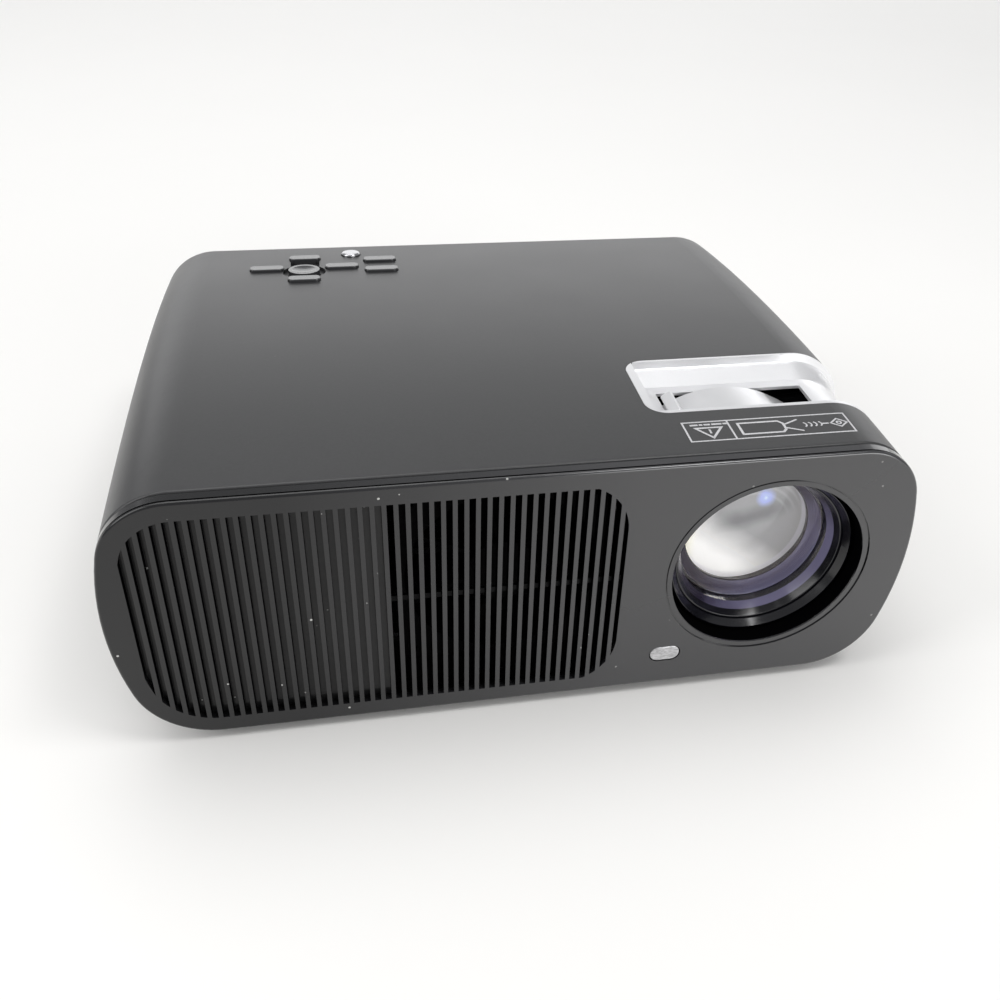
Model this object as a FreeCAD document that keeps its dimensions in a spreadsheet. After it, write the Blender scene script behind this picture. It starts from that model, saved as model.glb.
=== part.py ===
import FreeCAD, Part
import math
import os
import re
import Sketcher

# Home projector: pill-shaped case, louvred front, large lens and a focus lever on top.
# Frame: +Z up, the lens looks along -Y, origin on the table under the middle of the case.
# All sizes are millimetres.

SIZES = {
    # case hull
    "body_width": 310, "body_depth": 250, "body_height": 110, "foot_height": 4,
    "side_radius": 135.5, "side_level": 62.9, "top_corner": 27, "bottom_corner": 31.6,
    "top_drop": 15, "side_narrow": 4, "taper_power": 2.36, "rear_round": 7, "wall": 2.5,
    "split_gap": 0.5, "panel_depth": 5.4, "panel_gap": 1, "panel_skin": 4.2, "edge_round": 1.2,
    # front grille
    "grille_inset": 7.5, "grille_band": 5.5, "grille_right": 35.3, "grille_round": 22,
    "slot_pitch": 4.14, "slot_width": 2.4, "slot_first": -144.6, "slot_depth": 3.3, "blind_slots": 22,
    "open_slots": 22, "rib_level": 60, "rib_height": 2.4,
    # sensor window
    "window_across": 56.8, "window_level": 20.3,
    # lens
    "lens_across": 95.1, "lens_level": 61.4, "hood_radius": 39.65, "barrel_radius": 38,
    "barrel_front": 7, "housing_radius": 41, "running_gap": 0.06, "drum_radius": 44.2,
    "cam_radius": 46.4, "cam_shift": 4.8,
    "glass_radius": 32.2, "glass_front": 14.6, "disc_radius": 25.4, "disc_front": 28, "lever_reach": 57,
    "lever_angle": 33, "focus_travel": 8,
    # focus recess
    "recess_left": 50.5, "recess_front": -88.5, "recess_back": -44, "recess_bottom": 76, "recess_rim": 2.2,
    "recess_round": 9, "recess_deep": 8, "recess_side": 0.6, "recess_skin": 2, "lever_slot_left": 62.2,
    # key pad
    "pad_across": -78.4, "pad_back": 82, "key_length": 16, "key_width": 6.6, "key_rise": 1.3,
    "key_gap": 0.35, "key_travel": 0.5, "ok_radius": 7.5, "power_radius": 4.7, "well_radius": 10.4,
    "well_depth": 1.7,
    # optical engine
    "case_low": 24, "case_high": 99, "panel_across": 15, "light_middle": 18, "case_wall": 2,
    "plate_height": 70, "plate_width": 116,
    # fans
    "exhaust_size": 80, "exhaust_thick": 20, "exhaust_across": -9.5, "exhaust_front": -111,
    "exhaust_level": 60, "intake_size": 70, "intake_thick": 15, "intake_side": -134,
    # electronics
    "board_level": 14, "board_thick": 1.6, "board_back": 112, "socket_back": 124.8, "tray_level": 6.9,
    "tray_thick": 1.5,
    # feet and fixings
    "foot_radius": 9, "foot_across": 105, "foot_front": -90, "foot_back": 95,
    "mount_across": 120, "mount_along": 90, "mount_middle": 5, "stud_radius": 4, "lift_travel": 12,
    "lift_across": -10, "lift_along": -73, "boss_radius": 4,
}

doc = FreeCAD.newDocument("home_projector")
sheet = doc.addObject("Spreadsheet::Sheet", "sizes")
for row, (alias, value) in enumerate(SIZES.items(), start=1):
    sheet.set("A%d" % row, alias)
    sheet.set("B%d" % row, str(value))
    sheet.setAlias("B%d" % row, alias)
doc.recompute()


def size(alias):
    """One driving dimension, read from the sheet."""
    return float(sheet.get(alias))


NODES = {}
AXES = {"x": FreeCAD.Vector(1, 0, 0), "y": FreeCAD.Vector(0, 1, 0), "z": FreeCAD.Vector(0, 0, 1)}
TURNS = {"z": FreeCAD.Rotation(), "y": FreeCAD.Rotation(AXES["x"], -90),
         "x": FreeCAD.Rotation(AXES["y"], 90)}


# ---------------------------------------------------------------- building blocks

def linked(text):
    """Expression text with every sheet alias written as a reference to the sheet."""
    return re.sub(r"[a-z][a-z_]+", lambda w: "sizes." + w.group() if w.group() in SIZES else w.group(),
                  str(text))


def number(text):
    """Value of an expression text, worked out by the sheet."""
    sheet.set("D1", "=" + str(text))
    sheet.recompute()
    return float(sheet.get("D1"))


def bind(item, **texts):
    for prop, text in texts.items():
        item.setExpression(prop, linked(text))


def put(item, x, y, z, turn=None):
    if turn:
        item.Placement = FreeCAD.Placement(FreeCAD.Vector(), turn)
    for letter, text in zip("xyz", (x, y, z)):
        item.setExpression(".Placement.Base." + letter, linked(text))
    return item


def box(name, dx, dy, dz, x, y, z, turn=None):
    item = doc.addObject("Part::Box", name)
    bind(item, Length=dx, Width=dy, Height=dz)
    return put(item, x, y, z, turn)


def rod(name, radius, length, x, y, z, axis="z", turn=None):
    item = doc.addObject("Part::Cylinder", name)
    bind(item, Radius=radius, Height=length)
    return put(item, x, y, z, turn or TURNS[axis])


def cone(name, radius_a, radius_b, length, x, y, z, axis="z"):
    item = doc.addObject("Part::Cone", name)
    bind(item, Radius1=radius_a, Radius2=radius_b, Height=length)
    return put(item, x, y, z, TURNS[axis])


def ball(name, radius, x, y, z):
    item = doc.addObject("Part::Sphere", name)
    bind(item, Radius=radius)
    return put(item, x, y, z)


def fuse(name, *items, refine=True):
    if len(items) == 1:
        return items[0]
    item = doc.addObject("Part::MultiFuse", name)
    item.Shapes = list(items)
    item.Refine = refine
    return item


def common(name, *items):
    item = doc.addObject("Part::MultiCommon", name)
    item.Shapes = list(items)
    return item


def cut(name, base, *tools):
    item = doc.addObject("Part::Cut", name)
    item.Base = base
    item.Tool = fuse(name + "_tools", *tools)
    return item


def group(name, *items):
    item = doc.addObject("Part::Compound", name)
    item.Links = list(items)
    return item


def fillet(name, base, radius, choose):
    """Round the edges of base that choose(edge) picks out."""
    doc.recompute()
    item = doc.addObject("Part::Fillet", name)
    item.Base = base
    item.Edges = [(i, radius, radius) for i, edge in enumerate(base.Shape.Edges, start=1) if choose(edge)]
    return item


def along(axis):
    """Edge test: straight and parallel to an axis."""
    def test(edge):
        if not isinstance(edge.Curve, Part.Line):
            return False
        return edge.Curve.Direction.cross(AXES[axis]).Length < 1e-6
    return test


def node(name, item):
    """Hand one finished sub-part over under its own name."""
    item.Label = name
    NODES[name] = item
    return item


def origin_plane(body, role):
    return [f for f in body.Origin.OriginFeatures if f.Role == role][0]


def sketch_on(body, name, role, offset=0.0):
    sketch = body.newObject("Sketcher::SketchObject", name)
    sketch.AttachmentSupport = (origin_plane(body, role), [""])
    sketch.MapMode = "FlatFace"
    sketch.AttachmentOffset = FreeCAD.Placement(FreeCAD.Vector(0, 0, offset), FreeCAD.Rotation())
    return sketch


def polygon_body(name, role, corners, length, offset="0"):
    """Pad of a polygon whose corners are expression texts in the sketch plane."""
    body = doc.addObject("PartDesign::Body", name)
    sketch = sketch_on(body, name + "_sketch", role)
    sketch.setExpression(".AttachmentOffset.Base.z", linked(offset))
    spots = [FreeCAD.Vector(number(u), number(v), 0) for u, v in corners]
    count = len(spots)
    for i in range(count):
        sketch.addGeometry(Part.LineSegment(spots[i], spots[(i + 1) % count]), False)
    for i in range(count):
        sketch.addConstraint(Sketcher.Constraint("Coincident", i, 2, (i + 1) % count, 1))
    for i, (u, v) in enumerate(corners):
        for kind, text, value in (("DistanceX", u, spots[i].x), ("DistanceY", v, spots[i].y)):
            index = sketch.addConstraint(Sketcher.Constraint(kind, -1, 1, i, 1, value))
            sketch.setExpression("Constraints[%d]" % index, linked(text))
    pad = body.newObject("PartDesign::Pad", name + "_pad")
    pad.Profile = sketch
    bind(pad, Length=length)
    return body


# ---------------------------------------------------------------- case hull

def outline(body, name, along_y, side_inset, top_inset, taper=True):
    """Closed outline of the case at one depth: flat top and bottom, arched sides, four round corners."""
    reach = number(along_y)
    sketch = sketch_on(body, name, "XZ_Plane", -reach)
    sketch.setExpression(".AttachmentOffset.Base.z", "-(%s)" % linked(along_y))
    share = "((%s + body_depth/2)/body_depth)^taper_power" % along_y if taper else "0"
    low = "foot_height + %s" % top_inset
    high = "foot_height + body_height - %s - top_drop*%s" % (top_inset, share)
    side = "side_radius - %s" % side_inset
    upper = "top_corner - %s" % side_inset
    lower = "bottom_corner - %s" % side_inset
    centre = "body_width/2 - side_radius - side_narrow*%s" % share
    low_n, high_n, side_n, upper_n, lower_n, centre_n = [
        number(t) for t in (low, high, side, upper, lower, centre)]
    level = size("side_level")
    up = (centre_n + math.sqrt((side_n - upper_n) ** 2 - (high_n - upper_n - level) ** 2), high_n - upper_n)
    down = (centre_n + math.sqrt((side_n - lower_n) ** 2 - (low_n + lower_n - level) ** 2), low_n + lower_n)
    top_angle = math.atan2(up[1] - level, up[0] - centre_n)
    low_angle = math.atan2(down[1] - level, down[0] - centre_n)
    pi = math.pi

    def line(x1, z1, x2, z2):
        return Part.LineSegment(FreeCAD.Vector(x1, z1, 0), FreeCAD.Vector(x2, z2, 0))

    def arc(x, z, radius, start, stop):
        return Part.ArcOfCircle(Part.Circle(FreeCAD.Vector(x, z, 0), AXES["z"], radius), start, stop)

    sketch.addGeometry([
        line(-up[0], high_n, up[0], high_n),
        arc(up[0], up[1], upper_n, top_angle, pi / 2),
        arc(centre_n, level, side_n, low_angle, top_angle),
        arc(down[0], down[1], lower_n, -pi / 2, low_angle),
        line(down[0], low_n, -down[0], low_n),
        arc(-down[0], down[1], lower_n, pi - low_angle, 1.5 * pi),
        arc(-centre_n, level, side_n, pi - top_angle, pi - low_angle),
        arc(-up[0], up[1], upper_n, pi / 2, pi - top_angle)], False)
    joints = ((0, 2, 1, 2), (1, 1, 2, 2), (2, 1, 3, 2), (3, 1, 4, 1),
              (4, 2, 5, 2), (5, 1, 6, 2), (6, 1, 7, 2), (7, 1, 0, 1))
    for first, end_a, second, end_b in joints:
        sketch.addConstraint(Sketcher.Constraint("Tangent", first, end_a, second, end_b))
    for flat in (0, 4):
        sketch.addConstraint(Sketcher.Constraint("Symmetric", flat, 1, flat, 2, -2))
    for right, left in ((1, 7), (3, 5), (2, 6)):
        sketch.addConstraint(Sketcher.Constraint("Equal", right, left))
    for kind, where, value, text in (
            ("DistanceY", (-1, 1, 4, 1), low_n, low), ("DistanceY", (-1, 1, 0, 1), high_n, high),
            ("Radius", (1,), upper_n, upper), ("Radius", (3,), lower_n, lower),
            ("Radius", (2,), side_n, side), ("DistanceX", (-1, 1, 2, 3), centre_n, centre),
            ("DistanceY", (-1, 1, 2, 3), level, "side_level")):
        index = sketch.addConstraint(Sketcher.Constraint(kind, *where, value))
        sketch.setExpression("Constraints[%d]" % index, linked(text))
    return sketch


def loft(body, name, stations, ruled=False):
    """Loft through outlines given as (depth, side inset, top inset) texts."""
    sketches = [outline(body, "%s_%d" % (name, i), *station) for i, station in enumerate(stations)]
    skin = body.newObject("PartDesign::AdditiveLoft", name)
    skin.Profile = sketches[0]
    skin.Sections = sketches[1:]
    skin.Ruled = ruled
    return skin


def hull(name, front, inset, lip="0"):
    """Whole case volume, inset by a wall, from depth front (softened by lip) to the rounded rear face."""
    body = doc.addObject("PartDesign::Body", name)
    start, stop = "(%s + %s)" % (front, lip), "(body_depth/2 - rear_round)"
    steps = 8
    loft(body, name + "_length", [("(%s + (%s - %s)*%d/%d)" % (start, stop, start, i, steps), inset, inset)
                                  for i in range(steps + 1)])
    loft(body, name + "_rear", rounding(stop, "(rear_round - %s)" % inset, inset))
    if lip != "0":
        loft(body, name + "_lip", rounding(start, "(-%s)" % lip, inset))
    return body


def rounding(start, radius, inset):
    """Loft stations of a quarter-round edge; a negative radius rounds towards the front."""
    stations = []
    for degrees in (0, 30, 60, 90):
        pull = "(%s + abs(%s)*(1 - cos(%d deg)))" % (inset, radius, degrees)
        stations.append(("(%s + %s*sin(%d deg))" % (start, radius, degrees), pull, pull))
    return stations


def outline_pad(name, front, length, inset):
    """Straight prism of the front outline, from depth front backwards."""
    body = doc.addObject("PartDesign::Body", name)
    sketch = outline(body, name + "_outline", front, inset, inset, taper=False)
    pad = body.newObject("PartDesign::Pad", name + "_pad")
    pad.Profile = sketch
    pad.Reversed = True
    bind(pad, Length=length)
    return body


FRONT = "(-body_depth/2)"
BACK = "(body_depth/2)"
COVER_FRONT = "(-body_depth/2 + panel_depth + panel_gap)"
TOP = "(foot_height + body_height)"


def slots(name, count, pitch, dx, dy, dz, x, y, z, step="y"):
    """Row of equal slots stepping along one axis, as one tool."""
    first = {"x": x, "y": y, "z": z}
    cuts = []
    for i in range(count):
        at = dict(first)
        at[step] = "%s + %d*%s" % (first[step], i, pitch)
        cuts.append(box("%s_%d" % (name, i), dx, dy, dz, at["x"], at["y"], at["z"]))
    return group(name, *cuts)


def spread(name, make, places):
    """Compound of the same item made at several (x, y) places."""
    return [make("%s_%d" % (name, i), x, y) for i, (x, y) in enumerate(places)]


# ---------------------------------------------------------------- tilted key pad frame

PAD_TILT = math.degrees(math.atan(
    size("top_drop") * size("taper_power") / size("body_depth")
    * ((size("pad_back") + size("body_depth") / 2) / size("body_depth")) ** (size("taper_power") - 1)))
PAD_TURN = FreeCAD.Rotation(AXES["x"], -PAD_TILT)
PAD_LEVEL = "(foot_height + body_height - top_drop*((pad_back + body_depth/2)/body_depth)^taper_power)"


def pad_spot(dx, dy, lift):
    """Placement texts for a point of the tilted pad: right, back and up from the pad centre."""
    tilt = "%.4f deg" % PAD_TILT
    return ("pad_across + (%s)" % dx,
            "pad_back + (%s)*cos(%s) + (%s)*sin(%s)" % (dy, tilt, lift, tilt),
            "%s - (%s)*sin(%s) + (%s)*cos(%s)" % (PAD_LEVEL, dy, tilt, lift, tilt))


def pad_box(name, length, width, height, dx, dy, lift):
    """Box centred on a pad point, standing up from the given lift."""
    corner = pad_spot("%s - (%s)/2" % (dx, length), "%s - (%s)/2" % (dy, width), lift)
    return box(name, length, width, height, *corner, turn=PAD_TURN)


def pad_rod(name, radius, length, dx, dy, lift):
    return rod(name, radius, length, *pad_spot(dx, dy, lift), turn=PAD_TURN)


KEYS = {
    "key_left": ("-18.3", "0", "key_length"), "key_right": ("18", "1", "key_length"),
    "key_up": ("0", "15.8", "15"), "key_down": ("-0.4", "-17.2", "15"),
    "key_source": ("37.2", "10.6", "key_length"), "key_menu": ("37.2", "-5.6", "key_length"),
}
OK_SPOT = ("-0.4", "-4.4")
POWER_SPOT = ("23.2", "22")


def upright(edge):
    """Edge test: straight and square to the key pad."""
    if not isinstance(edge.Curve, Part.Line):
        return False
    return edge.Curve.Direction.cross(PAD_TURN.multVec(AXES["z"])).Length < 1e-6


def key_block(name, length, width, height, dx, dy, lift, radius):
    return fillet(name + "_round", pad_box(name, length, width, height, dx, dy, lift), radius, upright)


def make_keys():
    """Six bar keys, the round OK key and the power key, each with a retaining flange and a stem."""
    holes = []
    for name, (dx, dy, length) in KEYS.items():
        cap = key_block(name + "_cap", length, "key_width", "key_rise + 3.2", dx, dy, "-3.2", 2.2)
        cap = fillet(name + "_crown", cap, 0.45, lambda edge: top_rim(edge, "key_rise"))
        flange = key_block(name + "_flange", length + " + 2", "key_width + 2", "0.8", dx, dy, "-4", 2.6)
        stem = pad_rod(name + "_stem", "1.6", "0.8", dx, dy, "-4.6")
        node(name, fuse(name, cap, flange, stem))
        holes.append(key_block(name + "_hole", length + " + 2*key_gap", "key_width + 2*key_gap", "20",
                               dx, dy, "-9", 2.5))
    round_keys = (("key_ok", OK_SPOT, "ok_radius"), ("power_button", POWER_SPOT, "power_radius"))
    for name, spot, radius in round_keys:
        post = pad_rod(name + "_post", radius, "key_rise + 3.2", *spot, "-3.2")
        if name == "key_ok":
            post = cut(name + "_dished", post, dish(name, spot))
        else:
            post = fillet(name + "_dome", post, 1.1, lambda edge: top_rim(edge, "key_rise"))
        flange = pad_rod(name + "_flange", radius + " + 1", "0.8", *spot, "-4")
        stem = pad_rod(name + "_stem", "1.6", "0.8", *spot, "-4.6")
        node(name, fuse(name, post, flange, stem))
        holes.append(pad_rod(name + "_hole", radius + " + key_gap", "20", *spot, "-9"))
    holes.append(pad_rod("key_well", "well_radius", "10", *OK_SPOT, "-well_depth"))
    holes.append(pad_box("key_well_rear", "14", "14", "10", "0", "5.2", "-well_depth"))
    return holes


def dish(name, spot):
    """Ball that cuts a shallow hollow in the top of the round key."""
    return ball(name + "_dish", "22", *pad_spot(*spot, "key_rise + 21.2"))


def top_rim(edge, lift):
    """Edge test: lies in the plane at this lift over the pad."""
    spot = FreeCAD.Vector(*[number(t) for t in pad_spot("0", "0", lift)])
    normal = PAD_TURN.multVec(AXES["z"])
    return all(abs((v.Point - spot).dot(normal)) < 1e-4 for v in edge.Vertexes)


def make_keypad_board():
    """Tilted circuit board under the keys with one dome switch for each."""
    plate = pad_box("keypad_plate", "80", "54", "board_thick", "8.6", "3", "-7.9")
    domes = [pad_rod("dome_%s" % name, "2.4", "0.9", spot[0], spot[1], "-6.3")
             for name, spot in list(KEYS.items()) + [("ok", OK_SPOT), ("power", POWER_SPOT)]]
    posts = [pad_rod("keypad_post_%d" % i, "2", "4.9", dx, dy, "-6.3")
             for i, (dx, dy) in enumerate((("-29", "-20"), ("46", "-20"), ("-29", "26"), ("46", "26")))]
    node("keypad_board", cut("keypad_board", fuse("keypad_all", plate, *domes),
                             *[pad_rod("keypad_hole_%d" % i, "1.2", "9", *spot)
                               for i, spot in enumerate((("-29", "-20", "-12"), ("46", "-20", "-12")))]))
    return posts


# ---------------------------------------------------------------- case parts

CASE_SCREWS = (("-60", "-100"), ("42", "-100"), ("-127", "104"), ("127", "104"), ("-132", "-27"))


def make_recess(outer):
    """Silver insert of the focus recess, and the opening it needs in the top cover."""
    opening = fillet("recess_opening", box("recess_block", "120", "recess_back - recess_front", "60",
                                           "recess_left", "recess_front", "recess_bottom"),
                     size("recess_round"), lambda e: along("z")(e) and e.BoundBox.XMax < 60)
    plug = fillet("recess_plug", box("recess_plug_block", "120", "recess_back - recess_front - 0.4", "58",
                                     "recess_left + 0.2", "recess_front + 0.2", "recess_bottom + 0.2"),
                  size("recess_round") - 0.2, lambda e: along("z")(e) and e.BoundBox.XMax < 60)

    def core(name, extra):
        """Solid under the recess floor: level floor, then a slope up to the rear rim."""
        body = doc.addObject("PartDesign::Body", name)
        side, top = "recess_side + " + extra, "recess_deep + " + extra
        foot = ("(recess_back - 10)", side, top)
        loft(body, name + "_floor", [("(recess_front - 6)", side, top), foot], True)
        loft(body, name + "_slope", [foot, ("(recess_back + 2)", side, extra + " - 1.6")], True)
        return body

    floor = core("recess_core", "0")
    below = core("recess_under", "recess_skin")
    hollow_walls = polygon_body("recess_hollow", "XZ_Plane", (
        ("recess_left + 1.2", TOP + " + 4"), ("recess_left + 8", TOP + " - recess_deep - 0.2"),
        ("recess_left + 8", "40"), ("body_width/2 + 20", "40"), ("body_width/2 + 20", TOP + " + 4")),
        "recess_back - recess_front - recess_rim - 1.4", "-(recess_back - 1.4)")
    under_walls = polygon_body("recess_cavity", "XZ_Plane", (
        ("recess_left + 4", TOP + " - recess_deep - recess_skin"), ("recess_left + 4", "40"),
        ("body_width/2 + 20", "40"), ("body_width/2 + 20", TOP + " - recess_deep - recess_skin")),
        "recess_back - recess_front - 4.4", "-(recess_back - 2.2)")
    shaped = common("recess_shaped", plug, outer)
    hollow = cut("recess_space", hollow_walls, floor)
    cavity = common("recess_hidden", under_walls, below)
    slot = box("lever_slot", "126.2 - lever_slot_left", "24.6", "40", "lever_slot_left", "-83.9", "80")
    relief_block = box("relief_block", "102", "60", "40", "40", "-100", TOP + " - 51.5")
    relief = common("recess_relief", relief_block, below)
    node("control_recess", cut("control_recess", shaped, hollow, cavity, slot, relief))
    return opening


def make_front_panel():
    """Gloss front: louvred field on the left, lens hole on the right, sensor window between."""
    plate = outline_pad("front_plate", FRONT, "panel_depth", "0")
    doc.recompute()
    face = -size("body_depth") / 2
    rounded = fillet("front_rounded", plate, size("edge_round"), lambda e: abs(e.BoundBox.YMax - face) < 1e-4)
    hollow = outline_pad("front_hollow", "(-body_depth/2 + panel_skin)", "panel_depth", "wall")
    rim_outer = outline_pad("front_rim_outer", "(-body_depth/2 + panel_skin)", "9.5", "(wall + 0.3)")
    rim_inner = outline_pad("front_rim_inner", "(-body_depth/2 + panel_skin - 1)", "12", "(wall + 2.1)")
    rim = cut("front_rim", rim_outer, rim_inner)
    hood = rod("lens_hood", "hood_radius + 1.9", "12", "lens_across", "-body_depth/2 + 1", "lens_level", "y")
    skin = fuse("front_skin", cut("front_shell", rounded, hollow), rim, hood)

    field_outline = outline_pad("field_outline", "(-body_depth/2 - 1)", "8", "grille_inset")
    field_limit = fillet("field_limit", box(
        "field_block", "grille_right + body_width/2", "8", "body_height - 2*grille_band",
        "-body_width/2", "-body_depth/2 - 1", "foot_height + grille_band"),
        size("grille_round"), lambda e: along("y")(e) and e.BoundBox.XMax > 0)
    field = common("louvre_field", field_outline, field_limit)
    blind = slots("blind_row", int(size("blind_slots")), "slot_pitch", "slot_width", "slot_depth + 1", "120",
                  "slot_first", "-body_depth/2 - 1", "0", "x")
    start = "slot_first + blind_slots*slot_pitch"
    through = slots("open_row", int(size("open_slots")), "slot_pitch", "slot_width", "8", "120",
                    start, "-body_depth/2 - 1", "0", "x")
    rib = box("louvre_rib", "open_slots*slot_pitch", "1.2", "rib_height", start + " - 1",
              "-body_depth/2 + panel_skin - 1.3", "rib_level")
    pockets = slots("slot_pockets", int(size("blind_slots")), "slot_pitch", "slot_width", "2.5", "3.4",
                    "slot_first", "-body_depth/2 + 0.2", "foot_height + grille_band + 0.01", "x")
    lens_hole = rod("lens_hole", "hood_radius", "20", "lens_across", "-body_depth/2 - 1", "lens_level", "y")
    strip = rod("lens_strip", "41.7", "1.25", "lens_across", "-body_depth/2 - 1", "lens_level", "y")
    groove = cut("lens_groove", rod("groove_out", "42.5", "1.7", "lens_across", "-body_depth/2 - 1",
                                    "lens_level", "y"),
                 rod("groove_in", "41.7", "3", "lens_across", "-body_depth/2 - 2", "lens_level", "y"))
    window = stadium("window_hole", 6.65, 4, "-body_depth/2 - 1", "8")
    cuts = [common("blind_slots_cut", field, blind), common("open_slots_cut", field, through),
            common("pockets_cut", field, pockets), lens_hole, strip, groove, window]
    panel = cut("front_panel", skin, *cuts)
    node("front_panel", fuse("front_panel_ribbed", panel, common("rib_fitted", rib, field)))


def stadium(name, across, radius, front, length):
    """Rounded bar shape of the sensor window, drawn along Y."""
    bar = box(name, "%s*2" % across, length, "%s*2" % radius,
              "window_across - %s" % across, front, "window_level - %s" % radius)
    return fillet(name + "_round", bar, min(across, radius) - 0.01, along("y"))


def make_covers(outer, inner, recess_opening, key_holes, key_posts):
    shell = cut("case_shell", outer, inner)
    split = "side_level"
    upper_half = box("upper_half", "400", "400", "80", "-200", "-200", split + " + split_gap/2")
    lower_half = box("lower_half", "400", "400", "80", "-200", "-200", split + " - split_gap/2 - 80")
    open_front = box("front_mouth", "400", "20", "200", "-200", COVER_FRONT + " - 20", "-50")

    def boss(name, x, y):
        return rod(name, "boss_radius", "60", x, y, split + " + split_gap/2")

    def vents(name, side, count, y, z, height):
        across = "-160" if side < 0 else "130"
        return slots(name, count, "6", "30", "2.4", height, across, y, z)

    bosses = common("upper_bosses", fuse("upper_boss_set", *spread("upper_boss", boss, CASE_SCREWS)), inner)
    pad_posts = common("pad_posts", fuse("pad_post_set", *key_posts), outer)
    pilots = spread("upper_pilot", lambda n, x, y: rod(n, "1.55", "18", x, y, split), CASE_SCREWS)
    top_vents = [vents("intake_top", -1, 12, "-15", "67", "20"),
                 vents("speaker_top", -1, 7, "-80", "67", "14"),
                 vents("speaker_top_right", 1, 7, "20", "67", "14"),
                 slots("rear_top_vents", 18, "8", "3", "20", "14", "-70", "112", "70", "x")]
    top = cut("top_cover", fuse("top_body", common("upper_shell", shell, upper_half), bosses, pad_posts),
              open_front, recess_opening, *key_holes, *pilots, *top_vents)
    node("top_cover", top)

    def low_boss(name, x, y):
        return rod(name, "boss_radius", "70", x, y, "-4")

    def insert_boss(name, x, y):
        return rod(name, "5.4", "14", x, y, "-2")

    under = box("below_split", "400", "400", "80", "-200", "-200", split + " - split_gap/2 - 80")
    screw_bosses = fuse("low_boss_set", *spread("low_boss", low_boss, CASE_SCREWS))
    insert_bosses = fuse("insert_boss_set", *spread("insert_boss", insert_boss, mount_places()))
    guide = rod("lift_guide", "stud_radius + 6", "22", "lift_across", "lift_along", "-2")
    cup = rod("lift_cup", "18", "16", "lift_across", "lift_along", "-3.5")
    inner_parts = common("low_inside", fuse("low_inside_set", screw_bosses, insert_bosses, guide, cup),
                         fuse("low_space", outer), under)
    bores = spread("low_bore", lambda n, x, y: rod(n, "1.7", "80", x, y, "-4"), CASE_SCREWS)
    heads = spread("head_bore", lambda n, x, y: rod(n, "3.2", "60", x, y, "-20"), CASE_SCREWS)
    inserts = spread("insert_bore", lambda n, x, y: rod(n, "3.1", "12", x, y, "0"), mount_places())
    wheel_room = rod("wheel_room", "15.5", "20", "lift_across", "lift_along", "-9.9")
    stud_hole = rod("stud_hole", "stud_radius + running_gap", "60", "lift_across", "lift_along", "-4")
    clip_room = rod("clip_room", "stud_radius + 3", "20", "lift_across", "lift_along", "13.5")
    panel_hole = box("panel_opening", "244.6", "30", "35.1", "-122.3", "110", "12.2")
    low_vents = [vents("intake_low", -1, 12, "-15", "36", "22"),
                 vents("speaker_low", -1, 7, "-80", "46", "13"),
                 vents("speaker_low_right", 1, 7, "20", "46", "13"),
                 slots("floor_vents", 9, "7", "44", "3", "10", "-56", "-20", "1")]
    bottom = cut("bottom_cover", fuse("low_body", common("lower_shell", shell, lower_half), inner_parts),
                 open_front, *bores, *heads, *inserts, wheel_room, stud_hole, clip_room, panel_hole, *low_vents)
    node("bottom_cover", bottom)


BOARD_POSTS = (("-112", "28"), ("-70", "28"), ("-112", "90"), ("-70", "104"), ("18", "104"),
               ("72", "74"), ("114", "74"), ("114", "98"), ("70", "98"))


def make_tray():
    """Sheet-metal tray on the floor of the case, with a standoff under each board fixing."""
    plate = box("tray_plate", "234", "190", "tray_thick", "-117", "-84", "tray_level")
    soft = fillet("tray_soft", plate, 6, along("z"))
    rise = "board_level - tray_level - 0.02"
    posts = spread("tray_post", lambda n, x, y: rod(n, "3", rise, x, y, "tray_level"), BOARD_POSTS)
    holes = spread("tray_hole", lambda n, x, y: rod(n, "5.8", "10", x, y, "0"), mount_places())
    holes.append(rod("tray_foot_hole", "18.6", "12", "lift_across", "lift_along", "0"))
    vents = slots("tray_vents", 9, "7", "44", "3", "10", "-56", "-20", "1")
    node("board_tray", cut("board_tray", fuse("tray_body", soft, *posts), *holes, vents))


def mount_places():
    return [("%s*mount_across/2" % sx, "mount_middle %s mount_along/2" % sy)
            for sx in ("-1", "1") for sy in ("-", "+")]


# ---------------------------------------------------------------- lens

def lens_rod(name, radius, front, length):
    """Rod on the lens axis, starting at a depth behind the front face."""
    return rod(name, radius, length, "lens_across", "-body_depth/2 + (%s)" % front, "lens_level", "y")


def lens_cone(name, radius_a, radius_b, front, length):
    return cone(name, radius_a, radius_b, length, "lens_across", "-body_depth/2 + (%s)" % front,
                "lens_level", "y")


def meniscus(name, radius, front, thick, bulge_radius):
    """Round glass with a domed front face; front is the depth of its crown."""
    disc = lens_rod(name + "_disc", radius, front, thick)
    sphere = ball(name + "_ball", bulge_radius, "lens_across",
                  "-body_depth/2 + (%s) + %s" % (front, bulge_radius), "lens_level")
    return common(name, disc, sphere)


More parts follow.
